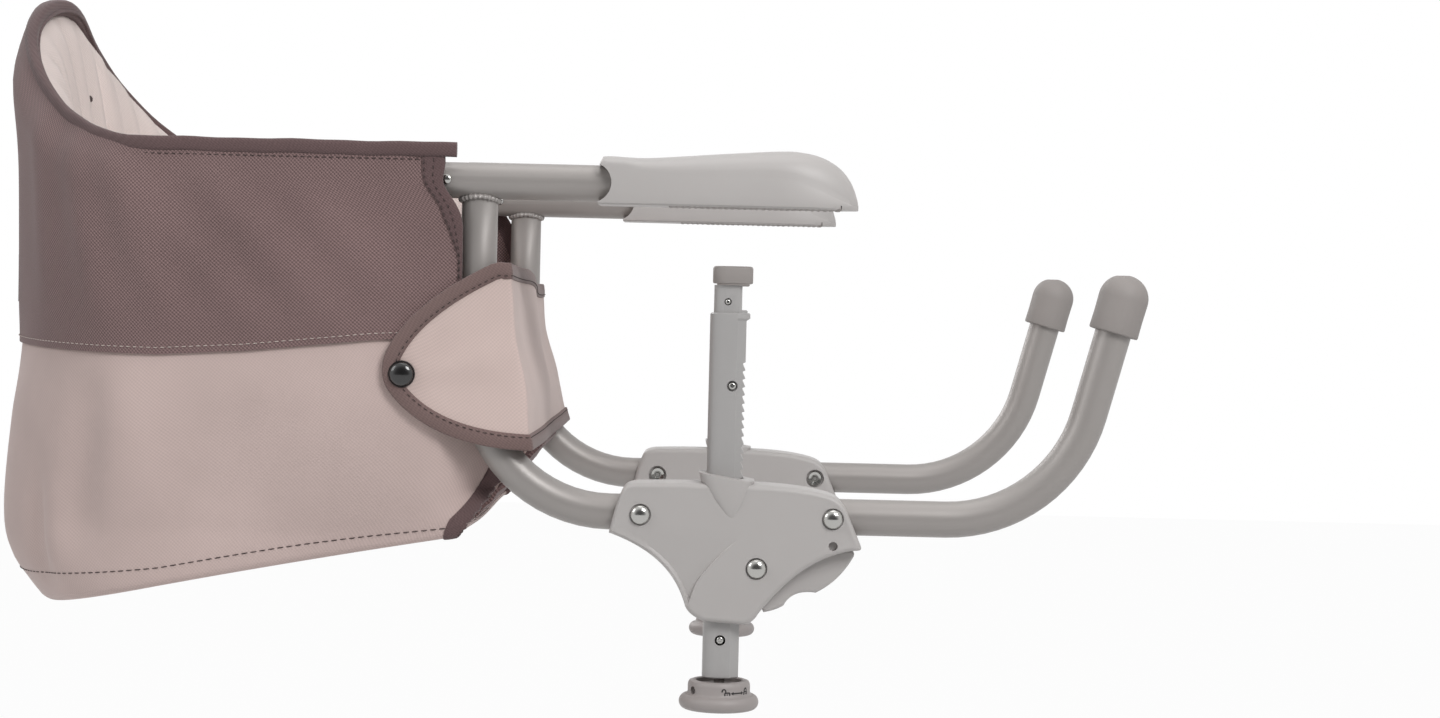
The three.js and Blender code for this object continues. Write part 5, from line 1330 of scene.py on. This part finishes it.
# Tuft: a small knot of dark thread, pulled through the liner inside the hump. It holds the padding in
# place, and lies on the cloth as a low button with five turns of thread.
tuft_place = int(np.argmin(np.abs(liner_grid[12, :, 1] - 25) + 1000 * (hand < 0)))
tuft_level = int(np.argmin(np.abs(liner_grid[:, tuft_place, 2] - 66)))
tuft_spot = liner_grid[tuft_level, tuft_place]
tuft_out = -liner_normal[tuft_level, tuft_place]
knot_rings = []
across = np.cross(tuft_out, (0, 0, 1))
across /= np.linalg.norm(across)
upwards = np.cross(across, tuft_out)
for lift, reach in ((0.6, 1.6), (1.4, 1.9), (2.1, 1.7), (2.6, 1.1), (2.8, 0.4)):
    knot_rings.append([tuple(tuft_spot + tuft_out * lift + (across * math.cos(a) + upwards * math.sin(a)) * reach
                             * (1 + 0.12 * math.sin(5 * a))) for a in np.linspace(0, 2 * math.pi, 21)[:-1]])
add_seat_piece("liner_tuft", shaped(*loft(knot_rings)), dark_thread)

# Back patch: a plain strip of the dark tape, sewn flat on the back of the band. Nothing is printed or
# woven on it.
patch_lift, patch_thickness = 1.5, 1.0
patch_columns = np.where(np.abs(band_grid[20, :, 1]) < 62)[0]
patch_levels = np.linspace(-61, -33, 9)
patch_grid = np.array([[points_at(z, band_grid[:, k, 2], band_grid[:, k]) for k in patch_columns]
                       for z in patch_levels])
patch_normal = grid_normals(patch_grid, np.s_[4, len(patch_columns) // 2], 0, -1)
patch_mesh = cloth_mesh(patch_grid + patch_normal * patch_lift, patch_thickness, patch_normal)
patch = add_seat_piece("blank_back_patch", patch_mesh, dark_tape)


# Seat cushion: a soft foam pad in the liner's off-white cloth, laid loose on the base inside the
# bucket. Its cover is puffed up by a cloth simulation.
def puffed(mesh, voxel, pressure, most):
    """Swells a closed pad by cloth simulation; no point moves further than most, in metres."""
    pad_body = bpy.data.objects.new("puffed", mesh)
    scene.collection.objects.link(pad_body)
    even = pad_body.modifiers.new("even", "REMESH")
    even.mode = "VOXEL"
    even.voxel_size = voxel
    bpy.context.view_layer.update()
    pad_body.data = bpy.data.meshes.new_from_object(pad_body.evaluated_get(bpy.context.evaluated_depsgraph_get()))
    pad_body.modifiers.clear()
    rest = np.array([v.co for v in pad_body.data.vertices])
    cloth = pad_body.modifiers.new("cloth", "CLOTH")
    cloth.settings.use_pressure = True
    cloth.settings.uniform_pressure_force = pressure
    cloth.settings.effector_weights.gravity = 0
    cloth.settings.quality = 5
    for step in range(1, 21):
        scene.frame_set(step)
    swollen = pad_body.evaluated_get(bpy.context.evaluated_depsgraph_get()).to_mesh()
    moved = np.array([v.co for v in swollen.vertices]) - rest
    pad_body.modifiers.clear()
    scene.frame_set(1)
    reach = np.linalg.norm(moved, axis=1, keepdims=True)
    rest = rest + moved * np.minimum(1, most / np.maximum(reach, 1e-9))
    pad_body.data.vertices.foreach_set("co", rest.astype(np.float32).ravel())
    finer = pad_body.modifiers.new("finer", "SUBSURF")
    finer.levels = finer.render_levels = 1
    bpy.context.view_layer.update()
    result = bpy.data.meshes.new_from_object(pad_body.evaluated_get(bpy.context.evaluated_depsgraph_get()))
    bpy.data.objects.remove(pad_body)
    return result


def pad_layers(front, inset, back, lift, levels):
    """Rings of a pad on the sloping base, each drawn in towards the pad's middle and raised."""
    edge = seat_points(seat_floor, front, inset)[::2]
    rings, pad_middle = [], -150.0
    for shrink, rise in levels:
        x = pad_middle + (np.maximum(edge[:, 0], back) - pad_middle) * shrink
        rings.append(list(zip(x, edge[:, 1] * shrink, base_z(x) + lift + rise)))
    return rings


cushion_rings = pad_layers(-44.0, 33.0, -268, 8.0, ((0.97, 0.0), (1.0, 2.0), (1.0, 4.5), (0.97, 7.0), (0.9, 8.0)))
cushion_mesh = puffed(shaped(*loft(cushion_rings)), 0.005, 4.0, 0.006)
cushion = add_seat_piece("seat_cushion", cushion_mesh, liner_cloth)

# Base pad: a firm foam stiffener in a plain pale cloth cover, slid in between the bottom panel and the
# cushion.
base_cloth = woven_finish("pale_base_cloth", linear(208, 191, 185), 0.0014, 0.1, 0.2, coords="object")
base_rings = pad_layers(-26.0, 14.5, -282, 0.0, ((0.985, 3.4), (1.0, 4.2), (1.0, 6.4), (0.985, 7.2)))
base_pad = add_seat_piece("base_stiffener", shaped(*loft(base_rings)), base_cloth, ["seat_base_pad"],
                          smooth=50)

# Front panel: pale taupe twill across both uprights. Its ends fold back outside them as rounded
# flaps, held by a press stud on the seat's side, and dark tape binds it all round.
flap_top = traced((-58.8, -95), [(-59.6, -88), (-56.8, -82)], [(-43.8, -55), (1.7, -33)], [(8, -33.5)], step=0.8)
flap_foot = traced((-58.8, -95), [(-58.5, -101), (-51.8, -108)], [(-28.8, -133), (21, -134)], step=0.8)
flap_columns, panel_columns, panel_rows = 26, 44, 26
flap_y = half_spacing + 15.65
stud_x, stud_z = -49.0, -94.5


def spaced(path, count):
    """Points along an outline, closer together near its start."""
    travel = lengths_along(path)
    return points_at(travel[-1] * np.linspace(0, 1, count) ** 1.25, travel, path)


tops, feet = spaced(flap_top, flap_columns), spaced(flap_foot, flap_columns)
rows = np.linspace(0, 1, panel_rows + 1)
columns = []
for top, foot in zip(tops, feet):
    x = foot[0] + (top[0] - foot[0]) * rows
    z = foot[1] + (top[1] - foot[1]) * rows
    columns.append(np.stack([x, np.full_like(x, flap_y), z], axis=1))
fold_top, fold_foot = -33.5, -134.0
fold_line = smooth_curve([(0, 20.6), (0.09, 18.6), (0.33, 16.6), (0.56, 11.0), (0.84, 8.2), (1, 6.4)], 60)
fold_x = np.interp(rows, fold_line[:, 0], fold_line[:, 1])
columns[-1][:, 0] = fold_x
fold_z = fold_foot + (fold_top - fold_foot) * rows
corner_round = 1.4
for step in range(1, 6):
    angle = math.pi / 2 * step / 5
    x = fold_x + corner_round * math.sin(angle)
    columns.append(np.stack([x, np.full_like(x, flap_y - corner_round * (1 - math.cos(angle))), fold_z], axis=1))
half_panel = []
for step in np.linspace(0, 1, panel_columns // 2 + 1)[1:]:
    y = (flap_y - corner_round) * (1 - step)
    sag = 1.2 * math.sin(math.pi * step / 2) * np.sin(math.pi * rows)
    sag = sag + 0.9 * np.sin(math.pi * rows * 1.4 + step * 5) * step
    x = fold_x + corner_round + sag - 1.2 * math.sin(math.pi * step) * rows
    z = fold_z - 2.5 * math.sin(math.pi * step / 2) * rows
    half_panel.append(np.stack([x, np.full_like(x, y), z], axis=1))
left_columns = columns + half_panel
right_columns = [c * np.array([1, -1, 1]) for c in left_columns]
panel_grid = np.stack(right_columns + left_columns[-2::-1], axis=1)
slack = ease((panel_grid[..., 1] + 60) / 230) * ease((panel_grid[..., 0] + 20) / 24)
panel_grid[..., 0] -= (2.0 + 17.0 * rows - 11.5 * rows ** 2)[:, None] * slack
panel_grid[..., 2] -= 10.0 * rows[:, None] ** 2 * slack
panel_normal = grid_normals(panel_grid, np.s_[10, 10], 1, -1)
panel_normal[:, 0], panel_normal[:, -1] = panel_normal[:, 2], panel_normal[:, -3]
flap_pull = np.where(np.abs(panel_grid[..., 1]) > half_spacing + 12, 1.0, 0.0)
to_stud = np.arctan2(panel_grid[..., 2] - stud_z, panel_grid[..., 0] - stud_x)
from_stud = np.hypot(panel_grid[..., 2] - stud_z, panel_grid[..., 0] - stud_x)
pull = 0.9 * np.sin(to_stud * 7.0 + 0.6) * np.clip((from_stud - 10) / 25, 0, 1)
pull = pull * np.clip((78 - from_stud) / 30, 0, 1) * flap_pull
pull = pull * ease(np.minimum(rows, 1 - rows) / 0.25 - 0.4)[:, None]
panel_grid = panel_grid + panel_normal * (np.maximum(pull, -0.25))[..., None]
flap_twill = woven_finish("pale_flap_twill", linear(210, 190, 184), 0.0014, 0.09, 0.12)
panel = add_piece("wrap_panel", cloth_mesh(panel_grid, 1.8, panel_normal), flap_twill, "frame",
                  ["front_panel"], smooth=60)
loop_edge = np.vstack([panel_grid[0], panel_grid[-1][::-1][1:-1]])
loop_inner = np.vstack([panel_grid[4], panel_grid[-5][::-1][1:-1]])
loop_normal = np.vstack([panel_normal[1], panel_normal[-2][::-1][1:-1]])


def closed_binding(edge, inner, normal, width, thickness):
    """Tape folded over an edge that runs all round a cloth, and the way inwards at each of its points."""
    heading = np.roll(edge, -1, axis=0) - np.roll(edge, 1, axis=0)
    heading /= np.maximum(np.linalg.norm(heading, axis=1, keepdims=True), 1e-9)
    inward = np.cross(heading, normal)
    inward /= np.maximum(np.linalg.norm(inward, axis=1, keepdims=True), 1e-9)
    if np.mean(np.sum(inward * (inner - edge), axis=1)) < 0:
        inward = -inward
    half = thickness / 2
    section = [(-0.9, 0.0), (-0.7, half * 0.7), (0.2, half), (width * 0.5, half * 1.1), (width - 0.4, half * 0.95),
               (width, half * 0.6), (width, -half * 0.6), (width - 0.4, -half * 0.95), (width * 0.5, -half * 1.1),
               (0.2, -half), (-0.7, -half * 0.7)]
    rings = [[tuple(edge[k] + inward[k] * b + normal[k] * n) for b, n in section] for k in range(len(edge))]
    return shaped(*loft(rings, wrap=True)), inward


binding, tape_in = closed_binding(loop_edge, loop_inner, loop_normal, 8.2, 3.4)
flap_tape = woven_finish("taupe_flap_tape", linear(124, 104, 101), 0.0012, 0.16, 0.35, coords="object")
add_piece("wrap_panel_binding", binding, flap_tape, "frame", smooth=60)
stitch_line = loop_edge + tape_in * 6.4 + loop_normal * 1.75
add_piece("wrap_panel_stitching", stitched(stitch_line, loop_normal), dark_thread, "frame")

# Press studs: glossy black plastic caps, riveted through the tips of the flaps. They snap on sockets in
# the seat's sides.
stud_gloss = hard_finish("glossy_black", linear(24, 23, 23), 0.14, grain=300, depth=0.01, coat=0.6)
stud_profile = [(0.02, 17.0), (7.0, 17.0), (7.4, 17.3), (7.4, 17.9), (7.0, 18.3), (6.7, 18.2), (6.6, 18.4)]
stud_rings = sideways(stud_profile + dome(6.6, 18.4, 3.1, 11, 0.9), stud_x, stud_z, 44)
add_pair("press_stud", shaped(*loft(stud_rings)), stud_gloss, "frame", "flap_snap", smooth=45)

# Crotch strap: a wide strap of the band's dark twill, from the seat's front edge up to the panel. It is
# sewn in at both ends, and gathered a little along its edges.
strap_half = 45
strap_path = traced((-20.5, -182.2), [(-6.5, -167.0), (20.5, -135.5)], step=3.0)
strap_columns = np.linspace(-strap_half, strap_half, 25)
strap_grid = np.array([[(x, y, z) for y in strap_columns] for x, z in strap_path])
strap_normal = grid_normals(strap_grid, np.s_[8, 12], 0, 1)
gather = 0.7 * np.sin(np.arange(len(strap_path)) * 1.4)[:, None] * (np.abs(strap_columns) / strap_half) ** 3
gather = gather * np.sin(np.linspace(0, math.pi, len(strap_path)))[:, None]
strap_grid = strap_grid + strap_normal * gather[..., None]
strap = add_piece("crotch_strap_cloth", cloth_mesh(strap_grid, 2.2, strap_normal), dark_twill, "frame",
                  ["crotch_strap"], smooth=60)

# Waist strap: dark 25 mm webbing, sewn across the panel's inside. A black plastic side-release buckle
# is threaded on it in the middle.
waist_z, waist_half, waist_reach = -82.0, 12.5, 145
waist_rows = np.linspace(-waist_half, waist_half, 7)
waist_columns = np.linspace(-waist_reach, waist_reach, 60)


def panel_inside(y, z):
    """How far forward the panel's inside lies at one place."""
    middle = np.where(np.abs(panel_grid[0, :, 1]) < flap_y - 4)[0]
    column = middle[np.argmin(np.abs(panel_grid[0, middle, 1] - y))]
    return np.interp(z, panel_grid[:, column, 2], panel_grid[:, column, 0]) - 0.9


waist_grid = np.array([[(panel_inside(y, waist_z + r) - 0.8, y, waist_z + r) for y in waist_columns]
                       for r in waist_rows])
waist = add_piece("waist_webbing", cloth_mesh(waist_grid, 1.3), dark_tape, "frame", ["waist_strap"],
                  smooth=60)
buckle_outline = traced((0, 23), [(9, 23), (15, 20), (15.8, 10)], [(16, 4), (13, 2), (13, 0)],
                        [(13, -2), (16, -4), (15.8, -10)], [(15, -20), (9, -23), (0, -23)],
                        [(-9, -23), (-15, -20), (-15.8, -10)], [(-16, -4), (-13, -2), (-13, 0)],
                        [(-13, 2), (-16, 4), (-15.8, 10)], [(-15, 20), (-9, 23), (0, 23)])


def buckle_relief(spots):
    """Two slots beside the buckle's prongs, and the split between its halves."""
    slot = np.exp(-((np.abs(spots[:, 0]) - 8.0) / 1.0) ** 2) * (np.abs(spots[:, 1]) < 15)
    split = np.exp(-(spots[:, 1] / 0.8) ** 2)
    return -1.0 * slot - 1.2 * split


buckle = moulding(buckle_outline, 0.0, 11.0, 3.0, buckle_relief, spacing=1.4)
black_mould = hard_finish("black_moulding", linear(38, 37, 37), 0.42, grain=1800, depth=0.08, coat=0.1)
panel_lean = math.atan2(13.3, 100.0)
buckle.transform(Matrix(((0, -1, 0, 0), (0, 0, 1, 0), (1, 0, 0, 0), (0, 0, 0, 1))))
buckle.transform(Matrix.Rotation(-panel_lean, 4, "Y"))
buckle.transform(Matrix.Translation(((panel_inside(0, waist_z) - 1.8) * 0.001, 0, waist_z * 0.001)))
add_piece("side_release_buckle", buckle, black_mould, "frame", ["harness_buckle"], smooth=40)

low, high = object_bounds()
